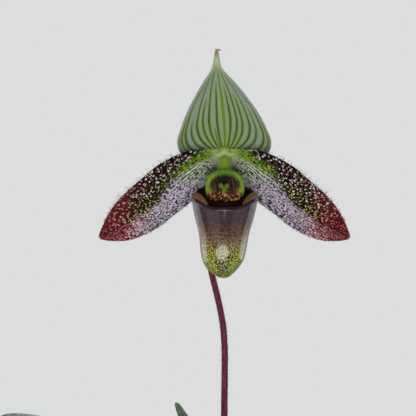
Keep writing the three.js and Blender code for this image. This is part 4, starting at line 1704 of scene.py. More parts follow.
@dataclass
class Rootstock:
    """Short rootstock with felted roots down into the mix and a few over its top."""

    top: float = 73.6
    bottom: float = 60
    radius: float = 10.3
    roots: int = 6
    root_radius: tuple[float, float] = (1.7, 1.1)
    bare_radius: tuple[float, float] = (1.5, 1.25)
    ring: float = 9
    well_bottom: float = 42
    bare_roots: Rows = ((0.9, 27, 82), (2.5, 24, 81.5), (4.1, 29, 82.5), (5.4, 25, 82))

    def build(self) -> bpy.types.Object:
        """Build the rootstock.

        Returns:
            The piece.
        """
        skin = Skin()
        z = np.array([0, 0.02, 0.1, 0.3, 0.5, 0.7, 0.88, 0.97, 1])
        span = np.array([0.6, 0.86, 0.97, 1, 0.96, 1, 0.97, 0.86, 0.6]) * self.radius
        path = point(0 * z, 0 * z, mix(self.bottom, self.top, z))
        lumps = 1 + 0.04 * np.sin(circle(48) * 10)[None] * np.sin(z * 9)[:, None]
        add_rod(skin, path, np.minimum(span[:, None] * lumps, self.radius))
        ring, bottom, well = self.ring, self.bottom, self.well_bottom
        sunk = ((ring / 2, 0, bottom + 2), (ring, 0.2, bottom - 5))
        sunk += ((ring, 0.5, well + 5), (ring, 0.5, well + 0.3))
        courses = [(turn, sunk, self.root_radius) for turn in circle(self.roots)]
        for turn, reach, crest in self.bare_roots:
            bare = ((8.5, 0, 75), (12, 0.06, 79), (mix(12, reach, 0.5), 0.16, crest + 1))
            bare += ((reach, 0.2, crest - 2), (reach + 3, 0.16, 76))
            courses.append((turn, bare, self.bare_radius))
        t = np.linspace(0, 1, 40)
        ripple = 1 + 0.08 * np.sin(np.arange(12)[None] * 2 + t[:, None] * 40)
        for turn, course, radius in courses:
            course = [polar(r, turn + sweep, height) for r, sweep, height in course]
            add_rod(skin, along(course, t), mix(*radius, t)[:, None] * ripple)
        return skin.piece("root_cluster", [FELTED_ROOT], "root", "rootstock", weld=0)


# Leaves


@dataclass
class Leaf:
    """A strap leaf whose base wraps the stem."""

    number: int
    turn: float
    seat: float
    stand: float
    length: float
    width: float
    leave: float
    droop: float
    wave: float
    foot: ClassVar[float] = 74
    thickness: ClassVar[float] = 0.9
    wrap: ClassVar[float] = 1.45
    keel: ClassVar[float] = 0.36
    blade_radius: ClassVar[float] = 83
    tip_half_width: ClassVar[float] = 0.9
    tip_start: ClassVar[float] = 0.5
    wave_depth: ClassVar[float] = 1.2
    waves: ClassVar[float] = 2.2
    up: ClassVar[Array] = np.array([0, 0, 1])

    def _lean(self, v: Array) -> Array:
        """Give the leaf's angle from upright.

        Args:
            v: Places along the leaf.

        Returns:
            The angle at each place, in radians.
        """
        start = self.stand / self.length
        past = np.maximum(0, v - start) / (1 - start)
        bend = math.radians(self.droop - self.leave) * past**1.2
        return math.radians(self.leave) * rise(start - 0.03, start + 0.14, v) + bend

    def _spine(self) -> Array:
        """Trace the midrib.

        Returns:
            The distance from the pot's axis and the height at even steps.
        """
        steps = 80
        angle = self._lean((np.arange(steps) + 0.5) / steps)
        move = point(np.sin(angle), np.cos(angle)) * self.length / steps
        return [self.seat, self.foot] + np.vstack([[0, 0], np.cumsum(move, axis=0)])

    def half_width(self, v: Array) -> Array:
        """Give half the blade's width.

        Args:
            v: Places along the leaf.

        Returns:
            The half width at each place.
        """
        to_tip = np.clip((v - self.tip_start) / (1 - self.tip_start), 0, 1)
        full = self.width / 2 * mix(0.74, 1, rise(0.12, self.tip_start, v))
        return np.maximum(self.tip_half_width, full * np.maximum(1 - to_tip**2.7, 0) ** 0.62)

    def surface(self, u: Array, v: Array) -> Array:
        """Place the leaf's surface.

        Args:
            u: Places across it.
            v: Places along it.

        Returns:
            The points.
        """
        start = self.stand / self.length
        r, z = np.moveaxis(along(self._spine(), v), -1, 0)
        angle = self._lean(v)
        opened = rise(start / 2, start + 0.22, v)
        half = mix(self.seat * self.wrap, self.half_width(v), opened)
        bow = mix(1 / self.seat, 1 / self.blade_radius, np.sqrt(opened))
        across = np.sin(bow * half * u) / bow
        hollow = (1 - np.cos(bow * half * u)) / bow
        keel = self.keel * rise(start, start + 0.2, v) * mix(1, 0.5, rise(0.4, 1, v))
        ripple = self.wave_depth * np.sin(2 * np.pi * self.waves * v + self.wave) * u * u
        depth = hollow + keel * (np.hypot(across, 1) - 1)
        depth = depth + ripple * rise(start + 0.1, 0.5, v) * fall(0.8, 1, v)
        turn = math.radians(self.turn)
        out, side = polar(1, turn, 0), polar(1, turn + math.pi / 2, 0)
        inward = self.up * np.sin(angle)[..., None] - out * np.cos(angle)[..., None]
        middle = out * r[..., None] + self.up * z[..., None]
        return middle + side * across[..., None] + inward * depth[..., None]

    def build(self) -> bpy.types.Object:
        """Build the leaf.

        Returns:
            The piece.
        """
        sizes = (self.thickness, 44, 150, self.half_width, self.length)
        skin = Sheet(self.surface, *sizes, ease=0.05).skin(front=1, back=0)
        finishes = [LeafFace(), LeafBack()]
        return skin.piece(f"strap_leaf_{self.number}", finishes, "leaf", f"leaf_{self.number}")


@dataclass
class Foliage:
    """The plant's leaves in two ranks, oldest first."""

    leaves: tuple[Leaf, ...] = (
        Leaf(1, -20, 9.8, 5, 146, 43, 36, 108, 0.4),
        Leaf(2, 196, 8.5, 8, 152, 44, 32, 99, 2.1),
        Leaf(3, 17, 7.2, 11, 146, 42, 25, 84, 3.6),
        Leaf(4, 164, 5.9, 14, 140, 40, 22, 76, 5.0),
        Leaf(5, -4, 4.6, 17, 118, 36, 16, 64, 1.2),
        Leaf(6, 170, 3.3, 21, 108, 28, 4, 18, 2.7),
    )

    def build(self) -> list[bpy.types.Object]:
        """Build every leaf."""
        return [leaf.build() for leaf in self.leaves]


# Flower stem


def hairs_on_rod(
    path: Array, radius: Callable[[Array], Array], count: int, length: float, seed: int
) -> Hairs:
    """Spread short hairs all over a rod.

    Args:
        path: Places along the rod, close together.
        radius: The rod's radius at a share of its length.
        count: How many hairs there are.
        length: How long they are.
        seed: Where their places come from.

    Returns:
        The hairs.
    """
    random = np.random.default_rng(seed)
    t = np.sort(random.uniform(0.01, 0.99, count))
    middle, tangent, first, second = (along(rows, t) for rows in (path, *transported(path)))
    angle = random.uniform(0, 2 * np.pi, count)[:, None]
    out = unit(first * np.cos(angle) + second * np.sin(angle))
    roots = middle + out * (radius(t) * 0.96)[:, None]
    ways = unit(out + tangent * random.uniform(-0.1, 0.5, count)[:, None])
    return Hairs(roots, ways, length * random.uniform(0.6, 1.2, count), 0.055, 0.25, seed)


@dataclass
class FlowerStem:
    """Hairy scape with the bract and the ribbed ovary on top of it."""

    scape: Rows = (
        (0, 0, 74), (0.1, 1.2, 106), (0.2, 3.2, 140), (0.3, 5, 172), (0.5, 6, 190), (0.5, 6.5, 200),
        (0, 7, 208), (-1.1, 7.3, 215), (-2.7, 7.5, 222), (-4.3, 7.6, 228.5), (-5.5, 7.7, 234.5),
        (-5.9, 7.6, 241),
    )
    scape_radius: tuple[float, float] = (1.45, 1.15)
    ovary: Rows = (
        (-6.1, 21.6, -33.3), (-5.7, 21.6, -25), (-4.6, 19.6, -15), (-2.6, 13.6, -6.2),
        (-0.4, 5.6, -1.8), (0, 0.6, -1),
    )
    ovary_radii: Row = (1.3, 1.65, 2.15, 2.2, 2.1, 2.9)
    rib: float = 0.07
    bract_foot: Row = (-6.1, 21.6, -38)
    bract_back: Row = (0.2, 0.98, 0)
    bract_radii: tuple[float, float] = (2.15, 3.25)
    bract_wrap: float = 2.6
    bract_tip_wrap: float = 0.12
    bract_share: float = 0.9
    bract_thickness: float = 0.6
    ovary_hairs_end: float = 0.86

    def _even(self, course: Sequence, count: int) -> Array:
        """Space places evenly along a course.

        Args:
            course: The places that it goes through.
            count: How many places are wanted.

        Returns:
            The places.
        """
        dense = along(course, np.linspace(0, 1, 800))
        lengths = distances(dense)
        wanted = np.linspace(0, lengths[-1], count)
        return np.stack([np.interp(wanted, lengths, dense[:, k]) for k in range(3)], 1)

    def _scape_radius(self, t: Array) -> Array:
        """Give the scape's radius at a share of its length."""
        return mix(*self.scape_radius, t)

    def _scape(self) -> list[bpy.types.Object]:
        """Build the scape and its hairs.

        Returns:
            The pieces.
        """
        path = self._even(self.scape, 160)
        t, turn = np.linspace(0, 1, 160)[:, None], circle(24)
        uneven = 1 + 0.02 * np.sin(5 * turn + 9 * t) + 0.012 * np.sin(t * 90 + turn)
        skin = Skin()
        add_rod(skin, path, self._scape_radius(t) * uneven)
        hairs = hairs_on_rod(path, self._scape_radius, 3000, 0.9, 5).skin()
        return [
            skin.piece("flower_stem", [StemSkin()], "stem", "scape"),
            hairs.piece("stem_hairs", [WINE_HAIR], "stem", weld=0),
        ]

    def _ovary_radius(self, t: Array) -> Array:
        """Give the ovary's radius at a share of the length that bears hairs."""
        return along(self.ovary_radii, t * self.ovary_hairs_end)

    def _ovary(self) -> list[bpy.types.Object]:
        """Build the ovary and its hairs.

        Returns:
            The pieces.
        """
        course = self._even(self.ovary, 90) + FLOWER_AT
        t = np.linspace(0, 1, 90)
        ribs = 1 + self.rib * np.cos(6 * circle(48)) * fall(0.8, 1, t[:, None])
        skin = Skin()
        add_rod(skin, course, along(self.ovary_radii, t)[:, None] * ribs)
        hairs = hairs_on_rod(course[:78], self._ovary_radius, 1100, 0.8, 6).skin()
        return [
            skin.piece("ribbed_ovary", [OvarySkin()], "stem", "ovary"),
            hairs.piece("ovary_hairs", [WINE_HAIR], "stem", weld=0),
        ]

    def _bract_half_turn(self, v: Array) -> Array:
        """Give how far round the bract wraps to each side."""
        return self.bract_wrap * (1 - v**1.6) + self.bract_tip_wrap

    def _bract_half_width(self, v: Array) -> Array:
        """Give half the bract's width at v."""
        return 3 * self._bract_half_turn(v)

    def bract_surface(self, u: Array, v: Array) -> Array:
        """Place the bract's surface.

        Args:
            u: Places across it.
            v: Places along it.

        Returns:
            The points.
        """
        stalk = self._even([self.bract_foot, *self.ovary[:3]], 200)
        s = v * self.bract_share
        centre, up = along(stalk, s), unit(along(unit(np.gradient(stalk, axis=0)), s))
        back = unit(np.array(self.bract_back))
        out = unit(back - up * (up @ back)[..., None])
        wrap = (self._bract_half_turn(v) * u)[..., None]
        around = out * np.cos(wrap) + np.cross(up, out) * np.sin(wrap)
        return FLOWER_AT + centre + around * mix(*self.bract_radii, rise(0, 0.9, v))[..., None]

    def build(self) -> list[bpy.types.Object]:
        """Build the scape, the ovary and the bract.

        Returns:
            The pieces.
        """
        sizes = (self.bract_thickness, 30, 50, self._bract_half_width, 26)
        sheet = Sheet(self.bract_surface, *sizes)
        bract = sheet.skin().piece("folded_bract", [BractSkin()] * 2, "bract", "bract")
        return [*self._scape(), *self._ovary(), bract]


# Sepals and petals


@dataclass
class MarginHairs:
    """A fringe of hairs along a sheet's margin."""

    surface: Surface
    edge: float
    count: int
    length: Callable[[Array], Array]
    thickness: float
    seed: int
    start: float = 0.05
    end: float = 0.97

    def hairs(self) -> Hairs:
        """Set the hairs on the margin.

        Returns:
            The hairs.
        """
        random = np.random.default_rng(self.seed)
        v = np.sort(random.uniform(self.start, self.end, self.count))
        inset = self.edge * (1 - np.abs(random.normal(0, 0.018, self.count)).clip(0, 0.08))
        root, inner = self.surface(inset, v), self.surface(inset - 0.06 * self.edge, v)
        normal = facing(self.surface, np.clip(inset, -0.98, 0.98), v)
        ahead = unit(self.surface(inset, np.minimum(v + 0.02, 1)) - root)
        spread = random.normal(0, 0.28, (3, self.count, 1))
        ways = unit(unit(root - inner) + normal * (spread[0] + 0.15) + ahead * (spread[1] + 0.1))
        lengths = self.length(v) * random.uniform(0.65, 1.15, self.count)
        return Hairs(root, ways, lengths, self.thickness, 0.3, self.seed)


@dataclass
class DorsalSepal:
    """Broad, pointed sepal over the flower, with a small crook at its tip."""

    mid_y: Row = (1.6, 2.6, 3.4, 3.6, 3.4, 2.8, 2.0, 0.8, -0.6, -1.8, -2.8, -3.8)
    mid_z: Row = (0.4, 4.6, 8.8, 12.8, 16.8, 20.8, 24.8, 28.4, 31.2, 33.4, 35.6, 37.6)
    half: Row = (5.0, 11.2, 16, 17.5, 16, 13.4, 9.9, 5.9, 2.05, 1.05, 0.8, 0.5)
    edge_y: Row = (1.6, 4, 4.6, 4, 2.8, 1.6, 0.6, -0.4, -1.4, -2.2, -3, -3.8)
    edge_z: Row = (-0.4, -2.0, -0.6, 3.6, 8.6, 14.2, 19.8, 25.2, 29.9, 33, 35.6, 37.5)
    lean: float = 2.9
    lean_height: float = 31
    lean_power: float = 1.8
    thickness: float = 0.8
    veins: tuple[Vein, ...] = (
        Vein(-0.965, 0.34, 0.75), Vein(-0.9, 0.42, 0.8), Vein(-0.82, 0.6), Vein(-0.686, 0.36, 0.9),
        Vein(-0.56, 0.66), Vein(-0.43, 0.46, 0.95), Vein(-0.3, 0.74), Vein(-0.2, 0.2, 0.7),
        Vein(-0.127, 0.56), Vein(0.022, 0.76, 1.0, True), Vein(0.155, 0.54), Vein(0.29, 0.72),
        Vein(0.41, 0.5, 0.95), Vein(0.555, 0.66), Vein(0.69, 0.46, 0.85), Vein(0.84, 0.56),
        Vein(0.93, 0.42, 0.8), Vein(0.98, 0.36, 0.75),
    )
    furrow: float = 0.16
    down_length: float = 0.32
    crook: Rows = (
        (-0.1, 0.4, -2.2), (-0.1, 0, -0.5), (0.2, -0.2, 0.15), (0.8, -0.4, 0.35), (1.5, -0.6, 0.1),
    )
    crook_radii: Row = (0.25, 0.4, 0.42, 0.36, 0.24)

    def surface(self, u: Array, v: Array) -> Array:
        """Place the sepal's surface.

        Args:
            u: Places across it.
            v: Places along it.

        Returns:
            The points.
        """
        share = np.abs(u) ** 1.7
        y = mix(along(self.mid_y, v), along(self.edge_y, v), share)
        z = mix(along(self.mid_z, v), along(self.edge_z, v), share)
        lean = -self.lean * np.clip(z / self.lean_height, 0, 1) ** self.lean_power
        for vein in self.veins:
            depth = self.furrow * vein.strength * rise(0.03, 0.15, v)
            y = y + depth * swell(vein.at, 0.03, u) * fall(vein.end - 0.1, vein.end, v)
        return FLOWER_AT + point(u * self.half_width(v) + lean, y, z)

    def half_width(self, v: Array) -> Array:
        """Give half the sepal's width at v."""
        return along(self.half, v)

    def _down_length(self, v: Array) -> Array:
        """Give the length of the down at v."""
        return self.down_length + 0 * v

    def build(self) -> list[bpy.types.Object]:
        """Build the sepal, its crook and the down along its margin.

        Returns:
            The pieces.
        """
        sizes = (self.thickness, 150, 150, self.half_width, 36.0)
        skin = Sheet(self.surface, *sizes, ease=0.05).skin()
        t = np.linspace(0, 1, 24)
        tip = self.surface(np.array([0.0]), np.array([0.97]))[0]
        radius = np.repeat(along(self.crook_radii, t)[:, None], 14, 1)
        add_rod(skin, along(tip + np.array(self.crook), t), radius, 2)
        finishes = [SepalFace(self.veins), SepalBack(), CrookTip()]
        down = Skin()
        for edge, seed in ((1.0, 41), (-1.0, 42)):
            sizes = (edge, 420, self._down_length, 0.045, seed)
            MarginHairs(self.surface, *sizes, end=0.7).hairs().skin(down)
        return [
            skin.piece("hooded_sepal", finishes, "sepal", "dorsal_sepal"),
            down.piece("sepal_down", [PALE_HAIR], "sepal", weld=0),
        ]


@dataclass
class FlowerHeart:
    """Small star of flesh that the sepals, petals and column all grow from."""

    at: Row = (0.1, 0.1, -1.7)
    radius: float = 2.5
    arms: float = 3.0
    crest: float = 1.0
    front_depth: float = 1.0
    back_depth: float = 0.6
    around: int = 72
    rings: int = 14
    arms_at: Row = (0.2, math.pi - 0.2, math.pi + 0.95, 2 * math.pi - 0.95)

    def build(self) -> bpy.types.Object:
        """Build the heart.

        Returns:
            The piece.
        """
        angle = circle(self.around)
        arms = sum(swell(way, 0.3, angle) for way in self.arms_at)
        reach = self.radius + self.arms * arms + self.crest * swell(math.pi / 2, 0.85, angle)
        s = np.arange(1, self.rings + 1)[:, None] / self.rings
        ribs = 1 + 0.03 * np.cos(angle * 9 + 1) * s
        across, up = s * reach * ribs * np.cos(angle), s * reach * np.sin(angle)
        dome = np.maximum(1 - s**2, 0) ** 0.8
        base = FLOWER_AT + np.array(self.at)
        share = point(s, np.arange(self.around + 1) / self.around)
        skin = Skin()
        for depth, flip in ((-self.front_depth, True), (self.back_depth, False)):
            points = base + point(across, depth * dome, up)
            skin.add_rings(points, share, share, flip=flip, ends=(base + [0, depth, 0], None))
        return skin.piece("flower_heart", [HeartSkin()], "petal")


@dataclass
class Synsepal:
    """The two lower sepals grown together, cupped behind the pouch."""

    mid_y: Row = (1, 2.2, 3, 3.2, 3, 2.6, 2.4, 2.6, 3)
    height: Row = (-5.2, -7.4, -11, -15.5, -20.5, -25.5, -30, -34, -37.5)
    half: Row = (2, 3.6, 5.4, 7.2, 8.5, 8.4, 6.4, 3.3, 0.5)
    cup: Row = (0, 0.5, 1.2, 2, 2.3, 1.9, 1.2, 0.5, 0)
    base_arch: float = 1.5
    thickness: float = 0.8
    veins_at: Row = (-0.9, -0.7, -0.5, -0.3, -0.1, 0.1, 0.3, 0.5, 0.7, 0.9)

    def surface(self, u: Array, v: Array) -> Array:
        """Place the synsepal's surface.

        Args:
            u: Places across it.
            v: Places along it.

        Returns:
            The points.
        """
        y = along(self.mid_y, v) - along(self.cup, v) * u * u
        z = along(self.height, v) + self.base_arch * u * u * (1 - v)
        return FLOWER_AT + point(u * self.half_width(v), y, z)

    def half_width(self, v: Array) -> Array:
        """Give half the synsepal's width at v."""
        return along(self.half, v)

    def build(self) -> bpy.types.Object:
        """Build the synsepal.

        Returns:
            The piece.
        """
        sheet = Sheet(self.surface, self.thickness, 60, 80, self.half_width, 33.0)
        veins = tuple(Vein(at, 0.9 - 0.45 * abs(at), 0.9) for at in self.veins_at)
        finishes = [SepalFace(veins, "9dab92"), SepalBack()]
        return sheet.skin(front=1, back=0).piece("joined_sepals", finishes, "sepal", "synsepal")


class Side(Enum):
    """Which side of the flower a petal is on."""

    LEFT = -1
    RIGHT = 1


@dataclass
class Petal:
    """Spotted petal, creased along its midrib and fringed with hairs."""

    side: Side
    mid: ClassVar[Rows] = (
        (2.1, 0.5, -2.4), (7.5, -3, -5), (13, -4.5, -9.9), (18.3, -5, -14.2), (23.5, -4.8, -18.5),
        (28.7, -4, -22.3), (34, -2.8, -25.2), (39, -1.4, -27.6), (43.2, 0.2, -29.9),
        (46.4, 1.4, -31.9),
    )
    upper: ClassVar[Rows] = (
        (2.0, 0.8, 1.0), (9.5, -1.4, 1.1), (17.5, -1.3, -1.2), (24.6, -1.8, -5),
        (30.8, -2.4, -10.2), (36, -2.6, -14.7), (40.4, -2.2, -19.4), (43.4, -1.4, -24.2),
        (45.2, 0, -28.2), (46.6, 1.4, -31.5),
    )
    lower: ClassVar[Rows] = (
        (1.7, 0.2, -6.2), (4.6, -2.6, -10), (8.4, -4.9, -14.6), (12, -6.4, -18.4),
        (17.8, -6.6, -22.7), (23.6, -5.5, -27.3), (29.5, -4, -30.6), (35.6, -2.2, -32.6),
        (41.3, -0.2, -32.8), (46.2, 1.4, -32.2),
    )
    thickness: float = 0.8
    swell_depth: float = 0.7
    ripple: float = 0.45
    ripples: float = 4.5
    length: float = 54.0
    frill: float = 0.18
    wart: float = 0.1
    crease: float = 0.35

    def surface(self, u: Array, v: Array) -> Array:
        """Place the petal's surface.

        Args:
            u: Places across it.
            v: Places along it.

        Returns:
            The points.
        """
        sign = self.side.value
        over = (sign * u < 0)[..., None]
        edge = np.where(over, along(self.upper, v), along(self.lower, v))
        share = np.abs(u)
        x, y, z = np.moveaxis(mix(along(self.mid, v), edge, share[..., None]), -1, 0)
        bulge = self.swell_depth * 4 * share * (1 - share)
        wave = self.ripple * np.sin(2 * np.pi * self.ripples * v) * share**3
        frill = self.frill * np.sin(2 * np.pi * 17 * v + 3 * sign) * share**6
        warts = self.wart * np.sin(v * 150 + 9 * u) * np.sin(u * 38 + v * 20)
        crease = self.crease * swell(0, 0.05, u) * rise(0.6, 0.85, v)
        relief = wave + frill - bulge + warts * rise(0.0, 0.3, -sign * u) + crease
        y = y + relief * rise(0, 0.25, v) * fall(0.8, 1, v)
        return FLOWER_AT + point(sign * x, y, z)

    def half_width(self, v: Array) -> Array:
        """Give the petal's mean half width at v."""
        return np.linalg.norm(along(self.upper, v) - along(self.lower, v), axis=-1) / 2

    def _upper_hairs(self, v: Array) -> Array:
        """Give the length of the hairs on the upper margin at v."""
        return 1.7 * rise(0.05, 0.2, v) * fall(0.6, 0.95, v) + 0.4

    def _lower_hairs(self, v: Array) -> Array:
        """Give the length of the hairs on the lower margin at v."""
        return 0.8 * rise(0.15, 0.3, v) * fall(0.5, 0.9, v) + 0.3

    def build(self) -> list[bpy.types.Object]:
        """Build the petal and its hairs.

        Returns:
            The pieces.
        """
        sign, label = self.side.value, self.side.name.lower()
        sizes = (self.thickness, 96, 210, self.half_width, self.length)
        skin = Sheet(self.surface, *sizes, mirror=-sign, ease=0.05).skin()
        finishes = [PetalFace(20.0 * (1 + sign)), PetalBack()]
        upper = (-sign, 230, self._upper_hairs, 0.085, 50 + sign)
        lower = (sign, 170, self._lower_hairs, 0.07, 60 + sign)
        fringe = Skin()
        for sizes in (upper, lower):
            MarginHairs(self.surface, *sizes).hairs().skin(fringe)
        return [
            skin.piece(f"spotted_petal_{label}", finishes, "petal", f"petal_{label}"),
            fringe.piece(f"petal_fringe_{label}", [DARK_HAIR], "petal", weld=0),
        ]


# Pouch


@dataclass
class Pouch:
    """Deep pouch with side lobes folded in over its mouth and a claw behind it."""

    sections: Rows = (
        (-45.5, 0, -23, -23, -0.6), (-44.2, 3.2, -25.9, -19.4, -0.8), (-42, 5.6, -27.6, -16.2, -1),
        (-39.3, 7.25, -28.7, -13.8, -0.8), (-35.5, 8.15, -29.2, -11.4, -0.65),
        (-30, 8.95, -28.6, -9.2, -0.4), (-24.6, 10.4, -27.3, -7.4, -0.25),
        (-20.2, 11.4, -26.4, -6.4, -0.15), (-16.6, 11.8, -26, -5.8, -0.1),
    )
    front_reach: float = 0.83
    side_reach: float = 0.95
    lip: Rows = ((0, 0), (-0.1, 0.4), (-0.35, 0.8))
    lobe: Rows = ((0, 0), (0.2, 0.9), (0.8, 1.5), (1.6, 1.4), (2.4, 0.8))
    shoulder: Rows = ((0, 0), (-0.3, 1.5), (-0.4, 3), (0.1, 4.3))
    claw: Rows = ((0, 0), (-0.1, 3.1), (-0.7, 6.3), (-1.7, 8.4), (-2.8, 9.6))
    claw_narrowing: float = 0.4
    toe_round: float = 1.3
    thickness: float = 0.8
    around: int = 180
    wall_rows: int = 90
    rim_rows: int = 40
    lip_height: float = 0.12
    wall_length: float = 34

    def surface(self, u: Array, v: Array) -> Array:
        """Place the pouch's surface.

        Args:
            u: Half turns from the front.
            v: From 0 at the toe to 0.5 at the rim, and past it.

        Returns:
            The points.
        """
        turn, height = np.pi * u, 2 * v
        away = np.degrees(np.abs(turn))
        lip, claw = fall(64, 84, away), rise(136, 162, away)
        lobe = (1 - lip) * fall(94, 126, away)
        shoulder = (1 - lip) * (1 - claw) - lobe * (1 - claw)
        reach = mix(self.front_reach, self.side_reach, rise(15, 85, away))
        reach = mix(reach, 1, rise(120, 160, away))
        place = reach * np.minimum(height, 1)
        z, half, front, back, middle = np.moveaxis(along(self.sections, place), -1, 0)
        toe = np.clip(place * (len(self.sections) - 1), 0, 1)
        z = z - self.toe_round * toe * (1 - toe)
        past = np.maximum(height - 1, 0)
        parts = ((self.lip, lip), (self.lobe, lobe), (self.shoulder, shoulder), (self.claw, claw))
        course = sum(along(rows, past) * share[..., None] for rows, share in parts)
        inward, up = np.moveaxis(course, -1, 0)
        narrow = 1 - self.claw_narrowing * claw * past
        return FLOWER_AT + point(
            middle + (half - inward) * narrow * np.sin(turn),
            (front + back) / 2 - ((back - front) / 2 - inward) * np.cos(turn),
            z + up,
        )

    def build(self) -> bpy.types.Object:
        """Build the pouch's two skins and the rim between them.

        Returns:
            The piece.
        """
        wall = np.sin(np.linspace(0, 1, self.wall_rows + 1)[1:] * np.pi / 2) ** 1.4
        rim = 1 + np.linspace(0, 1, self.rim_rows + 1)[1:]
        u, v = np.meshgrid(circle(self.around) / np.pi - 1, np.concatenate([wall, rim]) / 2)
        outer = self.surface(u, v)
        inner = outer - facing(self.surface, u, v) * self.thickness
        turns, up = np.linspace(-1, 1, self.around + 1), 2 * v[:, :1]
        spread = along([s[1] for s in self.sections], np.minimum(up, 1)) + 2
        share = point(turns, up)
        flat = point(turns * np.pi * np.maximum(spread, 3), up * self.wall_length)
        crown = unit(outer[-1] - outer[-3]) * self.lip_height
        lip = np.stack([outer[-1], (outer[-1] + inner[-1]) / 2 + crown, inner[-1]])
        toe = self.surface(np.array([0.0]), np.array([0.0]))[0]
        front = share[0, self.around // 2], flat[0, self.around // 2]
        skin = Skin()
        skin.add_rings(outer, share, flat, 0)
        skin.add_rings(inner, share, flat, 1, flip=True)
        skin.add_rings(lip, np.stack([share[-1]] * 3), np.stack([flat[-1]] * 3), 1)
        skin.add_fan(toe, outer[0][::-1], *front, 0)
        skin.add_fan(toe + [0, 0, self.thickness], inner[0], *front, 1)
        return skin.piece("slipper_pouch", [PouchOutside(), PouchInside()], "pouch", "pouch")


@dataclass
class Ears:
    """Two rounded lobes, folded in over the sides of the pouch's mouth."""

    foot: Rows = (
        (6.0, -23.8, -20.8), (7.8, -22.6, -20.8), (9.3, -20.9, -20), (10.5, -18.6, -18.8),
        (11.3, -15.6, -17.9),
    )
    top: Rows = (
        (6.3, -23.2, -19.3), (7.5, -21.4, -17.1), (9.1, -19.4, -15.5), (10.5, -17, -15.2),
        (11.7, -14.8, -16.6),
    )
    bulge: float = 0.9
    curl: float = 0.9
    thickness: float = 0.9
    half: float = 3.5

    def surface(self, u: Array, v: Array) -> Array:
        """Place the right ear's surface.

        Args:
            u: Places across it.
            v: Places along it.

        Returns:
            The points.
        """
        share = (u + 1) / 2
        rows = mix(along(self.foot, share), along(self.top, share), v[..., None])
        x, y, z = np.moveaxis(rows, -1, 0)
        forward = self.bulge * 4 * v * (1 - v) * (1 - u**4) - self.curl * rise(0.7, 1, v)
        return FLOWER_AT + point(x - 0.2 * forward, y - forward, z)

    def mirrored(self, u: Array, v: Array) -> Array:
        """Place the left ear's surface."""
        return FLOWER_AT + (self.surface(u, v) - FLOWER_AT) * [-1, 1, 1]

    def half_width(self, v: Array) -> Array:
        """Give half an ear's width at v."""
        return self.half + 0 * v

    def build(self) -> bpy.types.Object:
        """Build both ears.

        Returns:
            The piece.
        """
        skin = Skin()
        for surface in (self.mirrored, self.surface):
            sheet = Sheet(surface, self.thickness, 40, 40, self.half_width, 5.0, 1.0, 0.12, 0.1)
            sheet.skin(skin, 0, 0)
        return skin.piece("folded_ears", [EarSkin()], "pouch")


# Column


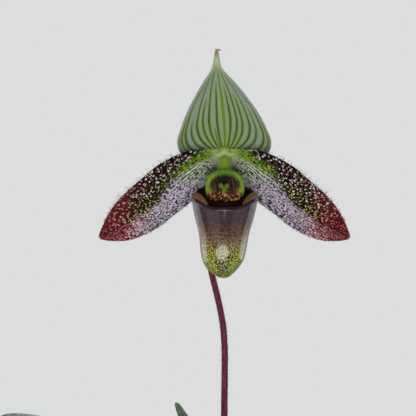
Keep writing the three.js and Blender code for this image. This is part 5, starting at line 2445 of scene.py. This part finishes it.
@dataclass
class Column:
    """Column with its shield, two anthers and stigma."""

    path: Rows = ((0, -0.9, -2.5), (0, -4.4, -3.8), (0, -8.2, -6.8), (0, -11.4, -11.2))
    radii: Row = (1.4, 1.95, 2.1, 1.2)
    shield_at: Row = (0, -13.6, -12.6)
    half_width: float = 7.15
    rise_up: float = 6.2
    drop: float = 6
    thickness: float = 1.1
    lean: float = 0.16
    rim_share: float = 0.82
    rim_width: float = 0.2
    rim_height: float = 1.0
    boss_share: float = 0.16
    boss_height: float = 0.9
    tooth_height: float = 0.7
    boxiness: float = 3.2
    notch_at: float = 1.6
    notch_depth: float = 0.8
    anther_at: Row = (3.1, -8.6, -8.6)
    anther_radius: float = 1.5
    stigma_at: Row = (0, -9.4, -11.2)
    stigma_radii: Row = (2.2, 2, 1.1)
    edge_depth: float = 0.45

    def _reach(self, angle: Array) -> Array:
        """Give the shield's radius: round above, boxy and notched below.

        Args:
            angle: Angles about its middle.

        Returns:
            The radius at each angle.
        """
        across, upright = np.abs(np.cos(angle)), np.abs(np.sin(angle))
        round_top = 1 / np.hypot(across / self.half_width, upright / self.rise_up)
        power = self.boxiness
        total = (across / self.half_width) ** power + (upright / self.drop) ** power
        boxy = total ** (-1 / power)
        notch = self.notch_depth * swell(self.notch_at, 0.7, across * boxy)
        notch = notch * rise(0.6, 0.95, upright)
        return np.where(np.sin(angle) >= 0, round_top, boxy - notch)

    def _relief(self, share: Array, angle: Array) -> Array:
        """Give how far the shield's face stands forward.

        Args:
            share: Shares of the way out from its middle.
            angle: Angles about its middle.

        Returns:
            The height at each place.
        """
        upper = rise(-0.55, 0.1, np.sin(angle))
        rim = self.rim_height * swell(self.rim_share, self.rim_width, share) * upper
        boss = self.boss_height * swell(0, self.boss_share, share)
        aside = np.sqrt(np.abs(np.cos(angle)))
        tooth = self.tooth_height * rise(0.2, 0.9, share) * aside * (1 - upper)
        x, z = share * np.cos(angle), share * np.sin(angle)
        pit = -0.6 * np.exp(-(((x + 0.06) ** 2 + (z - 0.17) ** 2) / 0.006))
        wrinkles = 0.09 * np.sin(x * 46 + 2 * np.sin(z * 14)) * fall(0.5, 0.72, share)
        folds = 0.12 * np.sin(angle * 23) * rise(0.35, 0.7, share) * fall(0.85, 1, share)
        relief = rim + boss + tooth + pit
        return relief + wrinkles * rise(0.2, 0.35, share) + folds * (1 - upper)

    def _grid(self, depth: Array, share: Array, angle: Array) -> Array:
        """Place the shield's face or back.

        Args:
            depth: How far each place stands forward.
            share: Shares of the way out from its middle.
            angle: Angles about its middle.

        Returns:
            The points.
        """
        reach = share * self._reach(angle)
        across, up = reach * np.cos(angle), reach * np.sin(angle)
        return FLOWER_AT + self.shield_at + point(across, -depth + self.lean * up, up)

    def _shield(self, skin: Skin) -> None:
        """Add the shield's face, back and rounded edge.

        Args:
            skin: The faces to add to.
        """
        around, rings = 150, 46
        angle = circle(around)
        share = np.arange(1, rings + 1)[:, None] / rings
        ease = np.sqrt(np.clip((1 - share) / 0.06, 0, 1))
        front_depth = mix(-self.edge_depth, self._relief(share, angle), ease)
        back_depth = mix(-self.edge_depth, -self.thickness * (1 - 0.4 * share**4), ease)
        wrap = np.append(angle, 2 * np.pi)
        spread = share * self._reach(wrap)
        flat = point(spread * np.cos(wrap), spread * np.sin(wrap))
        place = point(share, wrap / (2 * np.pi))
        middle, zero = np.zeros(1), np.zeros(2)
        peak = self._grid(self._relief(middle, middle), middle, middle)[0]
        foot = self._grid(np.array([-self.thickness]), middle, middle)[0]
        front, back = (self._grid(depth, share, angle) for depth in (front_depth, back_depth))
        skin.add_rings(front, place, flat, 0, flip=True)
        skin.add_fan(peak, front[0], zero, zero, 0)
        skin.add_rings(back, place, flat, 1)
        skin.add_fan(foot, back[0][::-1], zero, zero, 1)

    def build(self) -> bpy.types.Object:
        """Build the column.

        Returns:
            The piece.
        """
        skin = Skin()
        self._shield(skin)
        t = np.linspace(0, 1, 40)
        body = along(self.radii, t)[:, None] * (1 + 0.03 * np.cos(2 * circle(32)))
        body[:2] *= [[0.55], [0.86]]
        add_rod(skin, along(self.path, t) + FLOWER_AT, body, 1)
        for sign in (-1, 1):
            centre = FLOWER_AT + np.array(self.anther_at) * [sign, 1, 1]
            add_ball(skin, centre, np.full(3, self.anther_radius), 2, 0.12, 7 + sign)
        add_ball(skin, FLOWER_AT + self.stigma_at, np.array(self.stigma_radii), 1, 0.05, 3)
        finishes = [ShieldFace(), ColumnFlesh(), POLLEN]
        return skin.piece("column_and_shield", finishes, "column", "column")


# Studio


@dataclass(frozen=True)
class Softbox:
    """One area light, aimed at a place."""

    name: str
    at: Row
    size: float
    power: float
    height: float | None = None
    target: Row = (0.0, -20.0, 262.0)

    def build(self) -> bpy.types.Object:
        """Hang the light.

        Returns:
            The light.
        """
        light = bpy.data.lights.new(self.name, "AREA")
        light.size, light.energy = self.size * MM, self.power
        if self.height is not None:
            light.shape, light.size_y = "ELLIPSE", self.height * MM
        made = placed(self.name, light)
        made.location = [c * MM for c in self.at]
        way = Vector(self.at) - Vector(self.target)
        made.rotation_euler = way.to_track_quat("Z", "Y").to_euler()
        made.visible_camera = False
        return made


@dataclass
class Studio:
    """Pale floor, pale surroundings, soft lights and the camera."""

    camera_at: Row = (-5.9, -568.0, 254.3)
    lens: float = 129.93
    sensor: float = 36.0
    floor_radius: float = 1300.0
    floor_height: float = -0.2
    backdrop: str = "dcdedd"
    ambient: float = 0.13
    lights: tuple[Softbox, ...] = (
        Softbox("front", (-60, -600, 150), 800, 2.9, 400),
        Softbox("key", (-500, -520, 720), 760, 1.2),
        Softbox("fill", (620, -440, 460), 720, 0.8),
        Softbox("back", (200, 760, 700), 600, 3.6),
        Softbox("left rim", (-560, 240, 250), 420, 1.0),
        Softbox("right rim", (560, 240, 250), 420, 1.0),
    )

    def _floor(self) -> None:
        """Lay a pale round floor that fades out at its edge."""
        skin = Skin()
        radius = np.linspace(0.02, 1, 24)[:, None] * self.floor_radius
        points = polar(radius, circle(96), self.floor_height)
        share = np.zeros((24, 97, 2))
        centre = np.array([0, 0, self.floor_height])
        skin.add_rings(points, share, share, flip=True, ends=(centre, None))
        mesh = skin.mesh("studio_floor")
        mesh.materials.append(FloorPaint().material())
        placed("studio_floor", mesh)

    def _surroundings(self) -> None:
        """Fill the world with pale light."""
        world = bpy.data.worlds.new("studio")
        bpy.context.scene.world = world
        world.use_nodes = True
        world.node_tree.nodes.clear()
        graph = Graph(world.node_tree)
        looks = ((self.backdrop, 1.0), ("ffffff", self.ambient))
        seen, felt = (
            graph.node("ShaderNodeBackground", {}, {"Color": colour, "Strength": power})
            for colour, power in looks
        )
        looking = graph.node("ShaderNodeLightPath", {}, {}, "Is Camera Ray")
        both = graph.node("ShaderNodeMixShader", {}, {0: looking, 1: felt, 2: seen})
        graph.end("ShaderNodeOutputWorld", both)

    def build(self) -> None:
        """Set up the studio."""
        self._floor()
        self._surroundings()
        for light in self.lights:
            light.build()
        lens = bpy.data.cameras.new("camera")
        lens.lens, lens.sensor_width = self.lens, self.sensor
        lens.clip_start, lens.clip_end = 0.01, 50
        camera = placed("camera", lens)
        camera.location = [c * MM for c in self.camera_at]
        camera.rotation_euler = (math.pi / 2, 0, 0)
        bpy.context.scene.camera = camera
        bpy.context.scene.view_settings.view_transform = "Standard"


def main() -> None:
    """Build every piece, the studio and the camera."""
    logging.basicConfig(level=logging.INFO, format="%(message)s")
    Studio().build()
    pot = Pot()
    plant = [Rootstock(), Foliage(), FlowerStem()]
    flower = [DorsalSepal(), Synsepal(), FlowerHeart(), Petal(Side.LEFT), Petal(Side.RIGHT)]
    for assembly in [pot, PottingMix(pot), *plant, *flower, Pouch(), Ears(), Column()]:
        made = assembly.build()
        pieces = made if isinstance(made, list) else [made]
        LOG.info("%s: %s", type(assembly).__name__, ", ".join(p.name for p in pieces))


if __name__ == "__main__":
    main()
